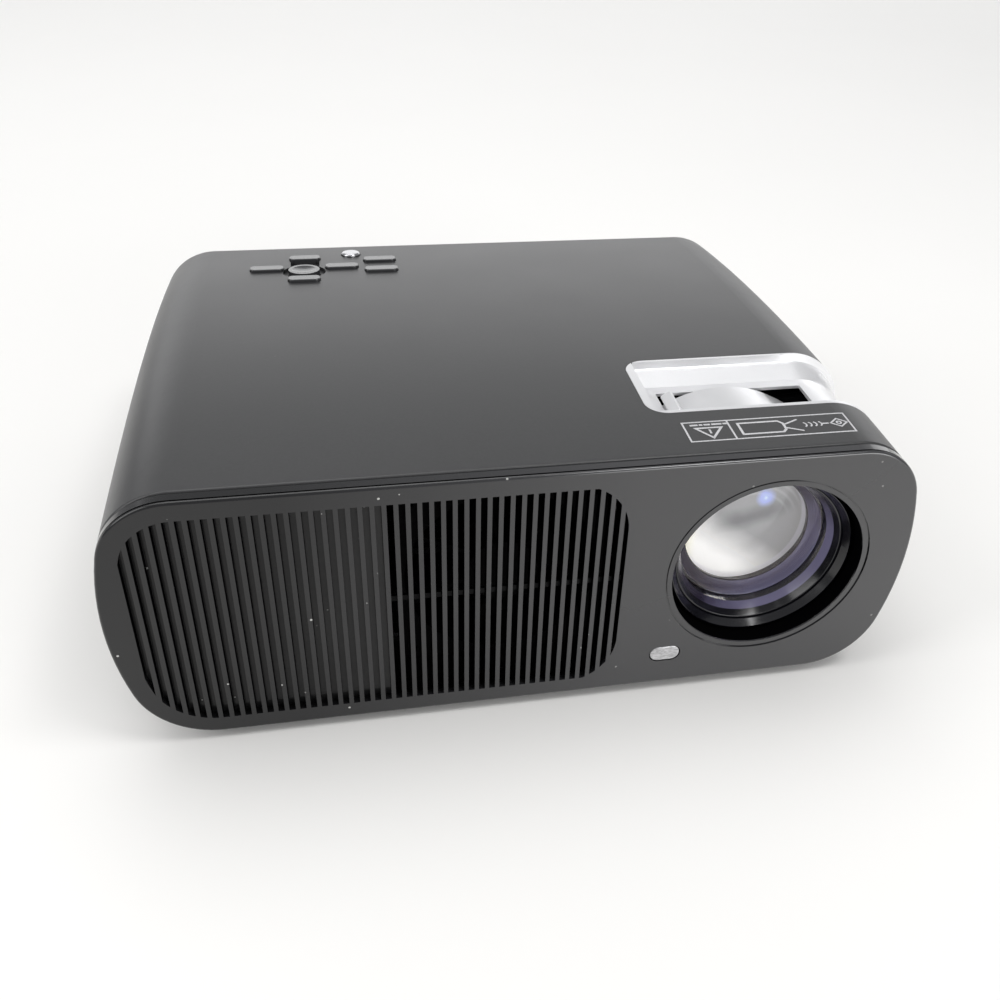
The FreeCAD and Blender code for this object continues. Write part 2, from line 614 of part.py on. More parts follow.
def make_lens():
    mouth = -size("body_depth") / 2 + size("barrel_front")
    tube = lens_rod("barrel_tube", "barrel_radius", "barrel_front", "60 - barrel_front")
    node("lens_barrel", cut(
        "lens_barrel", fillet("barrel_lip", tube, 0.5, lambda e: e.BoundBox.YMax < mouth + 0.1),
        lens_cone("barrel_mouth", "37.3", "35.4", "barrel_front - 0.01", "2.8"),
        lens_rod("barrel_step", "35.4", "barrel_front + 2.5", "7.2"),
        lens_rod("barrel_seat", "glass_radius + 0.2", "glass_front + 2", "5.2"),
        lens_rod("barrel_bore", "30.2", "glass_front + 7", "disc_front - glass_front - 7"),
        lens_rod("barrel_web", "disc_radius", "disc_front - 1", "4"),
        lens_rod("barrel_pocket", "28.1", "disc_front + 1.4", "6.4"),
        lens_rod("barrel_rear", "33.5", "disc_front + 7.6", "40")))
    ring = cut("retaining_ring", lens_rod("ring_body", "35.2", "barrel_front + 3.4", "6.2"),
               lens_cone("ring_hole", "34.4", "31.2", "barrel_front + 3.39", "6.22"))
    node("lens_retaining_ring", fillet("retaining_ring_soft", ring, 0.3, lambda e: e.BoundBox.YMax < mouth + 3.5))
    node("front_lens", meniscus("front_lens", "glass_radius", "glass_front", "7", "220"))
    node("rear_lens", meniscus("rear_lens", "28", "disc_front + 1.7", "5.6", "110"))
    node("lens_housing", make_housing())
    node("focus_ring", make_drum())


def make_housing():
    """Fixed tube that guides the barrel, with a flange on the optical case."""
    tube = lens_rod("housing_tube", "housing_radius", "17", "50.6")
    flange = fillet("housing_flange", box("housing_plate", "90", "3.4", "74", "lens_across - 45", "-57.7",
                                          "lens_level - 37"), 6, along("y"))
    stop = cut("housing_stop", lens_rod("stop_out", "housing_radius + 2.4", "17", "2.4"),
               lens_rod("stop_in", "housing_radius - 0.5", "16", "6"))
    bore = lens_rod("housing_bore", "barrel_radius + running_gap", "10", "70")
    return cut("lens_housing", fuse("housing_body", tube, flange, stop), bore)


def make_drum():
    """Focus drum: a sector on the housing, swelling towards the lever that stands on it."""
    round_part = lens_rod("drum_round", "drum_radius", "41.8", "22.4")
    cam = rod("drum_cam", "cam_radius", "22.4", "lens_across - cam_shift", "-body_depth/2 + 41.8",
              "lens_level", "y")
    sleeve = fuse("drum_sleeve", round_part, cam)
    bore = lens_rod("drum_bore", "housing_radius + running_gap", "40", "30")
    lower = box("drum_cut", "100", "40", "60", "lens_across - 50", "-95", "lens_level - 76")
    turn = FreeCAD.Rotation(AXES["y"], -size("lever_angle"))
    lever = doc.addObject("Part::Box", "lever_tab")
    bind(lever, Length="5", Width="15.4", Height="lever_reach - drum_radius + 1.5")
    angle = "(lever_angle*1 deg)"
    base = "(drum_radius - 1.5)"
    put(lever, "lens_across - %s*sin%s - 2.5*cos%s" % (base, angle, angle), "-80.7",
        "lens_level + %s*cos%s - 2.5*sin%s" % (base, angle, angle), turn)
    tab = fillet("lever_soft", lever, 0.8, lambda e: True)
    ring = cut("drum_ring", sleeve, bore, lower)
    return fuse("focus_ring", ring, tab)


# ---------------------------------------------------------------- optical engine

ENGINE_PLAN = (
    ("-58", "light_middle - 28"), ("-58", "light_middle + 28"), ("-28", "light_middle + 34"),
    ("0", "light_middle + 62"), ("36", "light_middle + 62"), ("54", "light_middle + 47.3"),
    ("138", "light_middle - 36.7"), ("138", "-54"), ("50", "-54"), ("36", "light_middle - 62"),
    ("0", "light_middle - 62"))
ENGINE_ROOM = (
    ("-56", "light_middle - 26"), ("-56", "light_middle + 26"), ("-27.2", "light_middle + 31.9"),
    ("0.8", "light_middle + 60"), ("35.3", "light_middle + 60"), ("52.4", "light_middle + 46.1"),
    ("136", "light_middle - 37.5"), ("136", "-52"), ("50.8", "-52"), ("35.2", "light_middle - 60"),
    ("0.8", "light_middle - 60"))


def make_engine():
    """Light box: lamp, condenser, heat glass, Fresnel lenses round the picture panel, folding mirror."""
    block = polygon_body("engine_block", "XY_Plane", ENGINE_PLAN, "case_high - case_low", "case_low")
    room = polygon_body("engine_room", "XY_Plane", ENGINE_ROOM, "case_high - case_low - 2*case_wall",
                        "case_low + case_wall")
    lens_port = lens_rod("engine_port", "35", "60", "20")
    lamp_port = box("lamp_port", "10", "40", "40", "-62", "light_middle - 20", "lens_level - 20")
    holders = []
    for x, thick in PLATES.values():
        for edge in ("%s - 1.6" % x, "%s + %s" % (x, thick)):
            for y in ("light_middle - 60.5", "light_middle + 56.5"):
                holders.append(box("plate_holder", "1.3", "4", "case_high - case_low - 2", edge, y,
                                   "case_low + 1"))
    middle = "(case_low + case_high)/2"
    ribs = common("plate_ribs", fuse("plate_rib_set", *holders, *make_baffles(middle)), block)
    node("optical_case", cut("optical_case", fuse("engine_ribbed", cut("engine_shell", block, room), ribs),
                             lens_port, lamp_port))
    for name, (x, thick) in PLATES.items():
        node(name, box(name, thick, "plate_width", "plate_height", x, "light_middle - plate_width/2",
                       middle + " - plate_height/2"))
    node("heat_glass", box("heat_glass", "2", "50", "56", "-18", "light_middle - 25", middle + " - 28"))
    disc = rod("condenser_disc", "22", "12", "-44", "light_middle", middle, "x")
    node("condenser_lens", common("condenser_lens", disc,
                                  ball("condenser_ball", "28", "-60", "light_middle", middle)))
    mirror = doc.addObject("Part::Box", "folding_mirror")
    bind(mirror, Length="96", Width="2", Height="plate_height")
    put(mirror, "lens_across - 33.9", "light_middle + 33.9", middle + " - plate_height/2",
        FreeCAD.Rotation(AXES["z"], -45))
    node("folding_mirror", mirror)


def make_baffles(middle):
    """Walls across the light box that hold the condenser lens and the heat glass."""
    floor = "case_low + 0.5"
    lens_plate = box("condenser_plate", "5.5", "60", "74", "-47", "light_middle - 30", floor)
    lens_wall = cut("condenser_wall", lens_plate,
                    rod("condenser_hole", "20", "20", "-55", "light_middle", middle, "x"),
                    rod("condenser_seat", "22.3", "20", "-44.2", "light_middle", middle, "x"))
    window = box("heat_window", "20", "46", "52", "-25", "light_middle - 23", middle + " - 26")
    seat = box("heat_seat", "2.4", "50.4", "56.4", "-18.2", "light_middle - 25.2", middle + " - 28.2")
    glass_wall = cut("heat_wall", box("heat_plate", "6", "90", "74", "-20", "light_middle - 45", floor),
                     window, seat)
    return lens_wall, glass_wall


PLATES = {"rear_fresnel": ("4", "2"), "lcd_panel": ("panel_across", "3.2"), "front_fresnel": ("27", "2")}


def make_lamp():
    """Light-emitting module on a finned cooler."""
    middle = "(case_low + case_high)/2"
    base = box("cooler_base", "5", "70", "70", "-65.3", "light_middle - 35", middle + " - 35")
    fins = [box("cooler_fin_%d" % i, "46", "1.6", "70", "-111", "light_middle - 35 + %d*5.7" % i,
                middle + " - 35") for i in range(13)]
    node("lamp_cooler", fuse("lamp_cooler", base, *fins))
    star = box("lamp_star", "2", "36", "36", "-60.2", "light_middle - 18", middle + " - 18")
    chip = box("lamp_chip", "1.2", "16", "16", "-58.4", "light_middle - 8", middle + " - 8")
    node("led_module", fuse("led_module", star, chip))


# ---------------------------------------------------------------- fans

def make_fan(prefix, width, thick, x, y, z, axis):
    """Square fan frame with four struts, and a rotor with seven blades; x, y, z is the frame corner."""
    half = "(%s)/2" % width
    if axis == "y":
        frame = box(prefix + "_block", width, thick, width, x, y, z)
        cx, cy, cz = "%s + %s" % (x, half), y, "%s + %s" % (z, half)
    else:
        frame = box(prefix + "_block", thick, width, width, x, y, z)
        cx, cy, cz = x, "%s + %s" % (y, half), "%s + %s" % (z, half)

    def at(shift):
        return (cx, "%s + %s" % (cy, shift), cz) if axis == "y" else ("%s + %s" % (cx, shift), cy, cz)

    frame = fillet(prefix + "_soft", frame, 4, along(axis))
    duct = rod(prefix + "_duct", half + " - 2", "40", *at("-1"), axis)
    hub_seat = rod(prefix + "_seat", "15", "2.4", *at(thick + " - 2.4"), axis)
    struts = []
    for i, reach in enumerate((("- 1.5", "- %s + 1" % half), ("- %s + 1" % half, "+ 1.5"))):
        beam = doc.addObject("Part::Box", "%s_strut_%d" % (prefix, i))
        spot = at(thick + " - 2.4")
        if axis == "y":
            bind(beam, Length="3", Width="2.4", Height=width + " - 2")
            put(beam, spot[0] + reach[0], spot[1], spot[2] + reach[1], FreeCAD.Rotation(AXES["y"], 90 * i))
        else:
            bind(beam, Length="2.4", Width="3", Height=width + " - 2")
            put(beam, spot[0], spot[1] + reach[0], spot[2] + reach[1], FreeCAD.Rotation(AXES["x"], -90 * i))
        struts.append(beam)
    corner = "(%s - 4.5)" % half
    screw_holes = []
    for i, (su, sv) in enumerate((("-", "-"), ("-", "+"), ("+", "-"), ("+", "+"))):
        spot = at("-1")
        if axis == "y":
            spot = ("%s %s %s" % (cx, su, corner), spot[1], "%s %s %s" % (cz, sv, corner))
        else:
            spot = (spot[0], "%s %s %s" % (cy, su, corner), "%s %s %s" % (cz, sv, corner))
        screw_holes.append(rod("%s_hole_%d" % (prefix, i), "1.6", "40", *spot, axis))
    pin_hole = rod(prefix + "_pin_hole", "1.56", "40", *at("-1"), axis)
    framed = cut(prefix + "_framed", frame, duct, *screw_holes)
    seated = fuse(prefix + "_with_seat", framed, hub_seat, *struts)
    node(prefix + "_fan_frame", cut(prefix + "_fan_frame", seated, pin_hole))
    node(prefix + "_fan_rotor", make_rotor(prefix, half, thick, at, axis))


def make_rotor(prefix, half, thick, at, axis):
    hub = rod(prefix + "_hub", "14", thick + " - 4.2", *at("1"), axis)
    pin = rod(prefix + "_pin", "1.5", thick + " - 1.2", *at("1"), axis)
    blades = []
    for i in range(7):
        blade = doc.addObject("Part::Box", "%s_blade_%d" % (prefix, i))
        bind(blade, Length=half + " - 11", Width="1.4", Height=thick + " - 6")
        spin = FreeCAD.Rotation(AXES["z"], i * 360 / 7)
        lean = FreeCAD.Rotation(AXES["x"], 28)
        turn = TURNS[axis].multiply(spin).multiply(lean)
        start = turn.multVec(FreeCAD.Vector(12.4, 2.1, 1.7))
        spot = at("1")
        put(blade, "%s + %.4f" % (spot[0], start.x), "%s + %.4f" % (spot[1], start.y),
            "%s + %.4f" % (spot[2], start.z), turn)
        blades.append(blade)
    sweep = rod(prefix + "_sweep", half + " - 3", thick + " - 4.2", *at("1"), axis)
    swept = common(prefix + "_blades", fuse(prefix + "_blade_set", *blades), sweep)
    return fuse(prefix + "_fan_rotor", swept, hub, pin, refine=False)


# ---------------------------------------------------------------- electronics

def make_boards():
    plan = (("-118", "22"), ("-62.5", "22"), ("-62.5", "86"), ("24", "86"), ("24", "board_back"),
            ("-118", "board_back"))
    main = polygon_body("main_plate", "XY_Plane", plan, "board_thick", "board_level")
    node("main_board", main)
    top = "board_level + board_thick"
    chips = [box("chip_main", "22", "22", "2", "-100", "60", top),
             box("chip_memory", "12", "9", "1.2", "-72", "66", top),
             box("chip_scaler", "14", "14", "1.6", "-96", "36", top),
             box("chip_power", "8", "8", "4", "-76", "40", top)]
    node("board_chips", group("board_chips", *chips))
    fins = [box("chip_fin_%d" % i, "26", "1.2", "4.4", "-102", "58 + %d*4.13" % i, top + " + 3.4")
            for i in range(7)]
    base = box("chip_cooler_base", "26", "26", "1.6", "-102", "58", top + " + 2")
    node("chip_cooler", fuse("chip_cooler", base, *fins))
    node("power_board", box("power_board", "56", "44", "board_thick", "64", "66", "board_level"))
    core = box("transformer_core", "26", "24", "20", "84", "68", top)
    coil = rod("transformer_coil", "10.5", "28", "83", "80", top + " + 10.6", "x")
    node("transformer", fuse("transformer", core, coil))
    cans = (("72", "86", "5.5", "20"), ("70", "72", "4", "14"), ("116", "86", "3.6", "12"))
    node("capacitors", group("capacitors", *[rod("capacitor_%d" % i, radius, length, x, y, top)
                                            for i, (x, y, radius, length) in enumerate(cans)]))


SOCKETS = {
    "hdmi_ports": (("-112", "-91"), 15, 12, 6.4, 13.6, 4.6, 9),
    "usb_ports": (("-46", "-27"), 14, 14, 7.2, 12, 5.2, 11),
}


def make_sockets():
    """Sockets along the rear edge of the main board, open towards the back."""
    top = "board_level + board_thick"
    for name, (places, wide, deep, tall, hole_wide, hole_tall, hole_deep) in SOCKETS.items():
        shells = []
        for i, x in enumerate(places):
            shell = box("%s_shell_%d" % (name, i), wide, deep, tall, "%s - %s/2" % (x, wide),
                        "socket_back - %s" % deep, top + " + 0.4")
            mouth = box("%s_mouth_%d" % (name, i), hole_wide, hole_deep + 1, hole_tall,
                        "%s - %s/2" % (x, hole_wide), "socket_back - %s" % hole_deep,
                        "%s + 0.4 + (%s - %s)/2" % (top, tall, hole_tall))
            tongue = box("%s_tongue_%d" % (name, i), "%s - 3" % hole_wide, hole_deep - 1, "0.8",
                         "%s - %s/2 + 1.5" % (x, hole_wide), "socket_back - %s" % hole_deep,
                         "%s + 0.4 + %s/2 - 0.4" % (top, tall))
            foot = box("%s_foot_%d" % (name, i), "%s - 2" % wide, "4", "0.8", "%s - %s/2 + 1" % (x, wide),
                       "board_back - 4", top)
            neck = box("%s_neck_%d" % (name, i), "%s - 2" % wide,
                       "socket_back - board_back - %s + 6" % deep, "2",
                       "%s - %s/2 + 1" % (x, wide), "board_back - 4", top)
            shells.append(fuse("%s_unit_%d" % (name, i), cut("%s_hollow_%d" % (name, i), shell, mouth), tongue,
                               foot, neck))
        node(name, group(name, *shells))
    jacks = []
    for i, x in enumerate(("-75", "-62")):
        block = box("jack_block_%d" % i, "9", "14", "8", "%s - 4.5" % x, "socket_back - 19", top)
        nose = rod("jack_nose_%d" % i, "3.9", "5", x, "socket_back - 5.2", top + " + 4.4", "y")
        hole = rod("jack_hole_%d" % i, "1.8", "14", x, "socket_back - 12", top + " + 4.4", "y")
        jacks.append(cut("jack_unit_%d" % i, fuse("jack_body_%d" % i, block, nose), hole))
    node("audio_jacks", group("audio_jacks", *jacks))
    make_vga()
    make_inlet()


def make_vga():
    top = "board_level + board_thick"
    block = box("vga_block", "30", "11", "11.4", "-11", "socket_back - 16.2", top)
    plate = box("vga_plate", "30.8", "1", "12", "-11.4", "socket_back - 6", top + " + 0.4")
    nose = fillet("vga_nose", box("vga_nose_block", "16.6", "5.4", "8.2", "-4.3", "socket_back - 5.6",
                                  top + " + 2.3"), 2, along("y"))
    pins = [rod("vga_pin_%d_%d" % (row, i), "0.5", "6", "%.2f" % (2.29 * i + 0.6 * row - 0.58),
                "socket_back - 2.4", top + " + %.2f" % (4.4 + 2 * row), "y")
            for row in range(3) for i in range(4)]
    node("vga_port", cut("vga_port", fuse("vga_body", block, plate, nose), *pins))


def make_inlet():
    """Mains inlet: a chamfered three-pin socket held by two screws in the rear panel."""
    flange = box("inlet_flange", "49", "1.5", "24", "68.5", "socket_back - 2.5", "19")
    flange = fillet("inlet_flange_soft", flange, 3, along("y"))
    block = box("inlet_block", "30", "19", "22", "78", "socket_back - 20.5", "20")
    mouth = fillet("inlet_mouth_soft", box("inlet_mouth", "24.4", "17", "16.4", "80.8", "socket_back - 16",
                                           "22.8"), 3.4, lambda e: along("y")(e) and e.BoundBox.ZMax > 30)
    pins = [box("inlet_pin_%d" % i, "2", "13", "4", "93 + %s - 1" % dx, "socket_back - 17", "29 + %s" % dz)
            for i, (dx, dz) in enumerate(((-7, 0), (7, 0), (0, 3.6)))]
    holes = [rod("inlet_screw_hole_%d" % i, "1.6", "10", x, "socket_back - 5", "31", "y")
             for i, x in enumerate(("73", "113"))]
    shell = cut("inlet_body", fuse("inlet_solid", flange, block), mouth, *holes)
    node("power_inlet", fuse("power_inlet", shell, *pins))


def make_rear_panel():
    """Socket panel let into the rear wall of the lower cover."""
    plate = box("rear_plate", "244", "2.2", "34.5", "-122", "socket_back - 4.8", "12.5")
    plate = fillet("rear_plate_soft", plate, 3, along("y"))
    top = "board_level + board_thick"
    openings = []
    for name, (places, wide, deep, tall, *_) in SOCKETS.items():
        for i, x in enumerate(places):
            openings.append(box("%s_window_%d" % (name, i), "%s + 0.6" % wide, "20", "%s + 0.6" % tall,
                                "%s - %s/2 - 0.3" % (x, wide), "110", top + " + 0.1"))
    for i, x in enumerate(("-75", "-62")):
        openings.append(rod("jack_window_%d" % i, "4.2", "20", x, "110", top + " + 4.4", "y"))
    openings.append(box("vga_window", "17.4", "20", "9", "-4.7", "110", top + " + 1.9"))
    openings.append(box("inlet_window", "30.6", "20", "22.6", "77.7", "110", "19.7"))
    openings.append(box("jack_room", "24", "1.4", "9", "-80.5", "119", top + " - 0.3"))
    openings += [rod("inlet_thread_%d" % i, "1.3", "20", x, "110", "31", "y")
                 for i, x in enumerate(("73", "113"))]
    openings += [rod("panel_screw_bore_%d" % i, "1.7", "20", x, "110", "40", "y")
                 for i, x in enumerate(("-114", "30"))]
    node("rear_panel", cut("rear_panel", plate, *openings))


def make_speakers():
    """Two round drivers behind the side slots, each a basket with a cone and a magnet."""
    for name, x, y, facing in (("speaker_left", "-148.3", "-62", 1), ("speaker_right", "148.3", "38", -1)):
        axis_turn = TURNS["x"] if facing > 0 else FreeCAD.Rotation(AXES["y"], -90)

        def disc(label, radius, length, depth):
            spot = "%s + %s" % (x, depth) if facing > 0 else "%s - %s" % (x, depth)
            return rod(label, radius, length, spot, y, "side_level", turn=axis_turn)

        basket = cut(name + "_basket", disc(name + "_rim", "23", "8", "0"),
                     disc(name + "_well", "20", "4", "-0.01"))
        behind = "%s %s 12.4" % (x, "+" if facing > 0 else "-")
        dome = common(name + "_dome", ball(name + "_ball", "14", behind, y, "side_level"),
                      disc(name + "_dome_disc", "7", "10", "0.8"))
        magnet = disc(name + "_magnet", "13", "8", "8")
        yoke = disc(name + "_yoke", "16", "3", "7.5")
        node(name, fuse(name, basket, dome, magnet, yoke))


# ---------------------------------------------------------------- feet and fixings

def make_feet():
    def pad(name, x, y):
        return cone(name, "foot_radius - 1", "foot_radius", "foot_height", x, y, "0")

    places = [("%s*foot_across" % side, y) for side in ("-1", "1") for y in ("foot_front", "foot_back")]
    node("rubber_feet", group("rubber_feet", *spread("foot", pad, places)))
    wheel = fillet("wheel_soft", rod("wheel_disc", "14", "4.8", "lift_across", "lift_along", "5"), 0.6,
                   lambda e: True)
    notches = []
    for i in range(18):
        angle = 20 * i
        notches.append(rod("wheel_notch_%d" % i, "1", "8", "lift_across + 14.5*cos(%d deg)" % angle,
                           "lift_along + 14.5*sin(%d deg)" % angle, "3"))
    bore = rod("wheel_bore", "stud_radius + running_gap", "10", "lift_across", "lift_along", "3")
    node("lift_wheel", cut("lift_wheel", wheel, bore, *notches))
    stud = rod("stud_rod", "stud_radius", "30.2", "lift_across", "lift_along", "3")
    pad = rod("stud_pad", "10", "3", "lift_across", "lift_along", "0.6")
    sole = fillet("stud_sole", pad, 0.8, lambda e: True)
    clip = rod("stud_clip", "stud_radius + 2", "1.6", "lift_across", "lift_along", "31")
    node("lift_stud", fuse("lift_stud", stud, sole, clip))


def make_fixings():
    def screw(name, x, y):
        head = rod(name + "_head", "2.9", "2.2", x, y, "37.4")
        shank = rod(name + "_shank", "1.5", "36", x, y, "39")
        return fuse(name, head, shank)

    def insert(name, x, y):
        return cut(name, rod(name + "_body", "3.05", "8", x, y, "4.1"),
                   rod(name + "_bore", "1.65", "12", x, y, "3"))

    node("case_screws", group("case_screws", *spread("case_screw", screw, CASE_SCREWS)))
    node("ceiling_inserts", group("ceiling_inserts", *spread("ceiling_insert", insert, mount_places())))
    screws = []
    for i, x in enumerate(("73", "113")):
        head = rod("inlet_head_%d" % i, "2.6", "0.9", x, "socket_back - 0.9", "31", "y")
        shank = rod("inlet_shank_%d" % i, "1.25", "8.5", x, "socket_back - 9", "31", "y")
        screws.append(fuse("inlet_screw_%d" % i, head, shank))
    node("inlet_screws", group("inlet_screws", *screws))


def make_window():
    lens = stadium("window_lens", 6.3, 3.65, "-body_depth/2", "panel_skin + 0.3")
    lens = fillet("window_soft", lens, 0.5, lambda e: e.BoundBox.YMax < -124.99)
    flange = box("window_flange", "18", "1.2", "11", "window_across - 9",
                 "-body_depth/2 + panel_skin + 0.1", "window_level - 5.5")
    node("sensor_window", fuse("sensor_window", lens, flange))
    board = box("sensor_board", "18", "1.6", "12",
                "window_across - 9", "-body_depth/2 + 11", "window_level - 6")
    base = box("sensor_base", "7", "2", "8",
               "window_across - 3.5", "-body_depth/2 + 9.4", "window_level - 4")
    block = box("sensor_block", "6", "5", "7",
                "window_across - 3", "-body_depth/2 + 6.4", "window_level - 3.5")
    eye = common("sensor_eye", block,
                 ball("sensor_ball", "4.6", "window_across", "-body_depth/2 + 10.9", "window_level"))
    node("sensor_receiver", fuse("sensor_receiver", board, eye, base))


def make_filter():
    frame = box("filter_frame", "4", "70", "60", "-144.2", "light_middle - 35", "31.4")
    bars = slots("filter_cells", 11, "6.1", "6", "4.6", "54", "-146", "light_middle - 33", "34.4")
    node("dust_filter", cut("dust_filter", frame, bars))


# ---------------------------------------------------------------- assembly

def build():
    outer = hull("hull_outer", COVER_FRONT, "0", "edge_round")
    inner = hull("hull_inner", FRONT, "wall")
    doc.recompute()
    recess_opening = make_recess(outer)
    key_holes = make_keys()
    key_posts = make_keypad_board()
    make_covers(outer, inner, recess_opening, key_holes, key_posts)
    make_tray()
    make_front_panel()
    make_window()
    make_lens()
    make_engine()
    make_lamp()
    make_fan("exhaust", "exhaust_size", "exhaust_thick", "exhaust_across - exhaust_size/2", "exhaust_front",
             "exhaust_level - exhaust_size/2", "y")
    make_fan("intake", "intake_size", "intake_thick", "intake_side", "light_middle - intake_size/2",
             "(case_low + case_high)/2 - intake_size/2", "x")
    make_filter()
    make_boards()
    make_sockets()
    make_rear_panel()
    make_speakers()
    make_feet()
    make_fixings()
    sheet.clear("D1")
    doc.recompute()


def check():
    for item in doc.Objects:
        if "Invalid" in item.State or "Error" in item.State:
            raise RuntimeError("%s did not compute: %s" % (item.Label, item.State))
    for name, item in NODES.items():
        if item.Shape.isNull() or not item.Shape.isValid() or not item.Shape.Solids:
            raise RuntimeError("sub-part %s has no valid solid" % name)


def export():
    os.makedirs("parts", exist_ok=True)
    for name, item in NODES.items():
        item.Shape.exportStep("parts/%s.step" % name)


build()
check()
export()
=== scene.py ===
import math

import bmesh
import bpy
from mathutils import Matrix, Vector
from mathutils.bvhtree import BVHTree


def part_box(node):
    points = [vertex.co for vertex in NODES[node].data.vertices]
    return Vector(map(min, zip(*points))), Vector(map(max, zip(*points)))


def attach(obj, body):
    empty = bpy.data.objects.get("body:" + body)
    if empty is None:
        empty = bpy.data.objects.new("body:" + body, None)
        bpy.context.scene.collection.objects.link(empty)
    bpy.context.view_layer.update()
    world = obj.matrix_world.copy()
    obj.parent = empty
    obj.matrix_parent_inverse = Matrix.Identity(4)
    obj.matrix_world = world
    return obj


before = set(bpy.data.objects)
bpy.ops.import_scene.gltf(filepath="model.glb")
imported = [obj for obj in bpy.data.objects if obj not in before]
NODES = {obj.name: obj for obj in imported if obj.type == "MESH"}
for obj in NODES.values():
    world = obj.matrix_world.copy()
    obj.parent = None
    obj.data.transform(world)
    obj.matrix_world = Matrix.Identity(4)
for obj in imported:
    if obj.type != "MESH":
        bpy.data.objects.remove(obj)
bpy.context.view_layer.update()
MM = 0.001


# ---------------------------------------------------------------- shader helper

class Finish:
    """A node material around one Principled shader; object coordinates are in metres."""

    def __init__(self, name, colour, roughness, **sockets):
        self.material = bpy.data.materials.new(name)
        self.material.use_nodes = True
        self.nodes = self.material.node_tree.nodes
        self.links = self.material.node_tree.links
        self.shader = self.nodes["Principled BSDF"]
        self.shader.inputs["Base Color"].default_value = (*colour, 1)
        self.shader.inputs["Roughness"].default_value = roughness
        for socket, value in sockets.items():
            self.shader.inputs[socket.replace("_", " ")].default_value = value
        self.coordinates = self.nodes.new("ShaderNodeTexCoord").outputs["Object"]
        self.height = None

    def node(self, kind, **inputs):
        item = self.nodes.new(kind)
        for socket, value in inputs.items():
            target = item.inputs[socket.replace("_", " ")]
            if hasattr(value, "is_linked"):
                self.links.new(value, target)
            else:
                target.default_value = value
        return item

    def noise(self, scale, detail=3.0, rough=0.55, stretch=None):
        source = self.coordinates
        if stretch:
            source = self.node("ShaderNodeMapping", Vector=source, Scale=stretch).outputs["Vector"]
        return self.node("ShaderNodeTexNoise", Vector=source, Scale=scale, Detail=detail,
                         Roughness=rough).outputs["Fac"]

    def cells(self, scale, randomness=1.0):
        return self.node("ShaderNodeTexVoronoi", Vector=self.coordinates, Scale=scale,
                         Randomness=randomness).outputs["Distance"]

    def remap(self, source, low, high, to_low, to_high):
        item = self.node("ShaderNodeMapRange", Value=source)
        for socket, value in (("From Min", low), ("From Max", high), ("To Min", to_low), ("To Max", to_high)):
            item.inputs[socket].default_value = value
        return item.outputs["Result"]

    def math(self, operation, first, second):
        item = self.nodes.new("ShaderNodeMath")
        item.operation = operation
        for target, value in zip(item.inputs, (first, second)):
            if hasattr(value, "is_linked"):
                self.links.new(value, target)
            else:
                target.default_value = value
        return item.outputs[0]

    def mix(self, factor, first, second):
        item = self.nodes.new("ShaderNodeMix")
        item.data_type = "RGBA"
        for socket, value in ((0, factor), (6, first), (7, second)):
            if hasattr(value, "is_linked"):
                self.links.new(value, item.inputs[socket])
            elif socket == 0:
                item.inputs[socket].default_value = value
            else:
                item.inputs[socket].default_value = (*value, 1)
        return item.outputs[2]

    def around(self, centre):
        """Object coordinates across (X) and up (Z) measured from a centre, and the plain Y."""
        place = self.node("ShaderNodeSeparateXYZ", Vector=self.coordinates)
        across = self.math("SUBTRACT", place.outputs["X"], centre[0])
        up = self.math("SUBTRACT", place.outputs["Z"], centre[2])
        return across, up, place.outputs["Y"]

    def length(self, first, second):
        square = self.math("ADD", self.math("MULTIPLY", first, first), self.math("MULTIPLY", second, second))
        return self.math("SQRT", square, 0)

    def rounded_edge(self, across, up, half_width, half_height, radius):
        """Distance outside (positive) or inside (negative) a rounded rectangle."""
        beyond = []
        for axis, half in ((across, half_width), (up, half_height)):
            past_straight = self.math("SUBTRACT", self.math("ABSOLUTE", axis, 0), half - radius)
            beyond.append(self.math("MAXIMUM", past_straight, 0))
        return self.math("SUBTRACT", self.length(*beyond), radius)

    def painted_glow(self, tone, strength):
        """Colour that also glows a little, a painted glow standing in for light, for surfaces seen through
        coated glass.
        """
        self.colour(tone)
        self.links.new(tone, self.shader.inputs["Emission Color"])
        self.shader.inputs["Emission Strength"].default_value = strength
        return self

    def colour(self, source):
        self.links.new(source, self.shader.inputs["Base Color"])
        return self

    def roughness(self, source):
        self.links.new(source, self.shader.inputs["Roughness"])
        return self

    def bump(self, source, depth, strength=1.0):
        """Adds one layer of relief, depth in metres."""
        item = self.node("ShaderNodeBump", Strength=strength, Distance=depth, Height=source)
        if self.height:
            self.links.new(self.height, item.inputs["Normal"])
        self.height = item.outputs["Normal"]
        self.links.new(self.height, self.shader.inputs["Normal"])
        return self


# ---------------------------------------------------------------- finishes

def moulded(name, tone, rough, grain=0.35 * MM, relief=0.012 * MM, dust=0.0, **sockets):
    """Moulded plastic: fine spark grain, faint changes in sheen, a little dust."""
    finish = Finish(name, tone, rough, **sockets)
    base = finish.mix(finish.remap(finish.noise(900, 3), 0.3, 0.7, 0, 1),
                      [c * 0.92 for c in tone], [c * 1.09 for c in tone])
    if dust:
        speck = finish.remap(finish.cells(110), 0.02, 0.035, 1, 0)
        patch = finish.remap(finish.noise(60, 2), 0.6, 0.68, 0, dust)
        base = finish.mix(finish.math("MULTIPLY", speck, patch), base, (0.5, 0.5, 0.48))
    finish.colour(base)
    wear = finish.remap(finish.noise(26, 3), 0.3, 0.7, rough * 0.97, min(rough * 1.03, 1))
    finish.roughness(wear)
    finish.bump(finish.cells(1 / grain), relief)
    return finish.material


